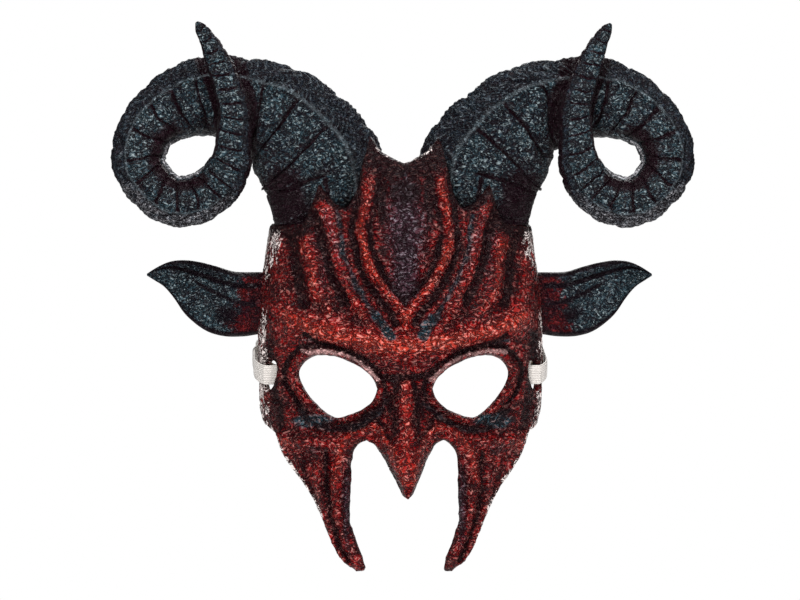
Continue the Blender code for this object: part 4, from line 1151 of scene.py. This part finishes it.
def makeSlider(material):
    # Rounded bar section carried round a rounded rectangle, so it closes on itself round the strap.
    sizes = strapSizes
    hole = np.array([sizes["layer"] / 2 + sizes["thick"] / 2, sizes["width"] / 2]) + sizes["play"]
    around, section = circle(96, 0.35), circle(32, 0.55)
    reach = hole + sizes["bar"] / 2
    outward = unit(around / reach ** 0.2)
    grip = 0.18 * np.cos(section[:, 1] * 14) * (section[:, 0] > 0.3)
    swell = section[:, 0] * (sizes["bar"] / 2 - 0.05) + grip
    place = (around * reach)[:, None] + outward[:, None] * swell[:, None]
    along = sizes["back"] + sizes["layer"] / 2 + place[..., 0]
    x = np.broadcast_to(section[:, 1] * sizes["slider"] / 2, along.shape)
    verts = onStrapPlane(1, np.stack([x, along], axis=-1), place[..., 1])
    rows, sides = along.shape
    quads = gridFaces(rows + 1, sides) % (rows * sides)
    slider = makePiece("sliderRing", verts.reshape(-1, 3), [quads], "slider", material)
    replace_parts(slider, "strap_slider")


# parts kept from the frame

def dress(names, material):
    for name in names:
        mesh = bpy.data.objects[name].data
        mesh.materials.clear()
        mesh.materials.append(material)


# camera, floor and light

cameraSizes = {"distance": 2.6, "azimuth": -3.5, "across": 0.480, "aim": (-0.0025, 0.0, 0.0522)}
floorSizes = {"rings": (0.4, 0.8, 1.2), "sides": 72, "z": -0.22, "white": (0.90, 0.90, 0.90), "glow": 0.30}
studioSizes = {
    "onMask": 0.13, "onCamera": 1.0, "aim": (0, 0, 0.05),  # world strengths, and where the lamps point
    "lamps": [("key", (-0.45, -1.2, 0.9), 0.35, 27), ("fill", (0.9, -1.2, 0.35), 0.5, 14),
              ("top", (0.1, -0.1, 1.4), 0.7, 17), ("back", (0.3, 1.3, 0.9), 1.0, 14)],
}


def makeCamera():
    # level, in front and a little to one side, wide enough for the horns
    angle = math.radians(cameraSizes["azimuth"])
    camera = bpy.data.objects.new("camera", bpy.data.cameras.new("camera"))
    aim = Vector(cameraSizes["aim"])
    camera.location = aim + cameraSizes["distance"] * Vector((math.sin(angle), -math.cos(angle), 0))
    camera.rotation_euler = (aim - camera.location).to_track_quat('-Z', 'Y').to_euler()
    camera.data.sensor_width = 36
    camera.data.lens = 36 * cameraSizes["distance"] / cameraSizes["across"]
    scene.collection.objects.link(camera)
    scene.camera = camera


def makeFloor():
    # flat disc of quads between circles, with a fan of triangles in the middle
    sizes = floorSizes
    sides, count = sizes["sides"], len(sizes["rings"])
    rings = np.array(sizes["rings"])[:, None, None] * circle(sides)
    verts = np.vstack([np.pad(rings.reshape(-1, 2), ((0, 0), (0, 1))), [(0, 0, 0)]])
    faces = gridFaces(count, sides).tolist() + fanFaces(0, count * sides, sides, flip=True).tolist()
    mesh = bpy.data.meshes.new("floor")
    mesh.from_pydata(verts.tolist(), [], faces)
    floor = bpy.data.objects.new("floor", mesh)
    floor.location = (0, 0, sizes["z"])
    mesh.materials.append(Board("paleFloor").finish(
        Base_Color=sizes["white"], Roughness=0.9, Emission_Color=(1, 1, 1), Emission_Strength=sizes["glow"]))
    scene.collection.objects.link(floor)


def makeStudio():
    # white to the camera, dimmer to the mask, with large soft lamps for the lacquer to catch
    world = bpy.data.worlds.new("studio")
    world.use_nodes = True
    nodes, links = world.node_tree.nodes, world.node_tree.links
    dim, white = nodes["Background"], nodes.new("ShaderNodeBackground")
    for node, strength in ((dim, studioSizes["onMask"]), (white, studioSizes["onCamera"])):
        node.inputs["Color"].default_value = (1, 1, 1, 1)
        node.inputs["Strength"].default_value = strength
    path, blend = nodes.new("ShaderNodeLightPath"), nodes.new("ShaderNodeMixShader")
    links.new(path.outputs["Is Camera Ray"], blend.inputs[0])
    links.new(dim.outputs[0], blend.inputs[1])
    links.new(white.outputs[0], blend.inputs[2])
    links.new(blend.outputs[0], nodes["World Output"].inputs["Surface"])
    scene.world = world
    for name, spot, size, power in studioSizes["lamps"]:
        lamp = bpy.data.objects.new(name, bpy.data.lights.new(name, 'AREA'))
        lamp.data.size, lamp.data.energy = size, power
        lamp.location = spot
        lamp.rotation_euler = (Vector(studioSizes["aim"]) - lamp.location).to_track_quat('-Z', 'Y').to_euler()
        scene.collection.objects.link(lamp)
    scene.view_settings.view_transform = 'Standard'


makeCamera()
makeFloor()
makeStudio()
print("camera, floor and lights are set")
makeShell(skinLacquer(), pulpPaper())
print("face shell is made")
slate, earSlate = hornLacquer(), earLacquer()
makeHorn("left", 1, slate, 3)
makeHorn("right", -1, slate, 11)
makeEar("left", 1, earSlate, 5)
makeEar("right", -1, earSlate, 8)
print("horns and ears are made")
makePads(plainFinish("paddingFoam"))
makeStrap(wovenElastic(), plainFinish("sewingThread"))
makeSlider(plainFinish("sliderPlastic"))
print("pads, strap and slider are made")
pine, steel = plainFinish("pineWood"), plainFinish("brushedSteel")
dress(["crown_plate"], plainFinish("pressedBoard"))
for word in ("left", "right"):
    dress([f"horn_plug_{word}", f"ear_peg_{word}"], pine)
    dress([f"horn_{kind}_{word}_{n}" for kind in ("screw", "washer") for n in (1, 2)], steel)
print("hardware is dressed")
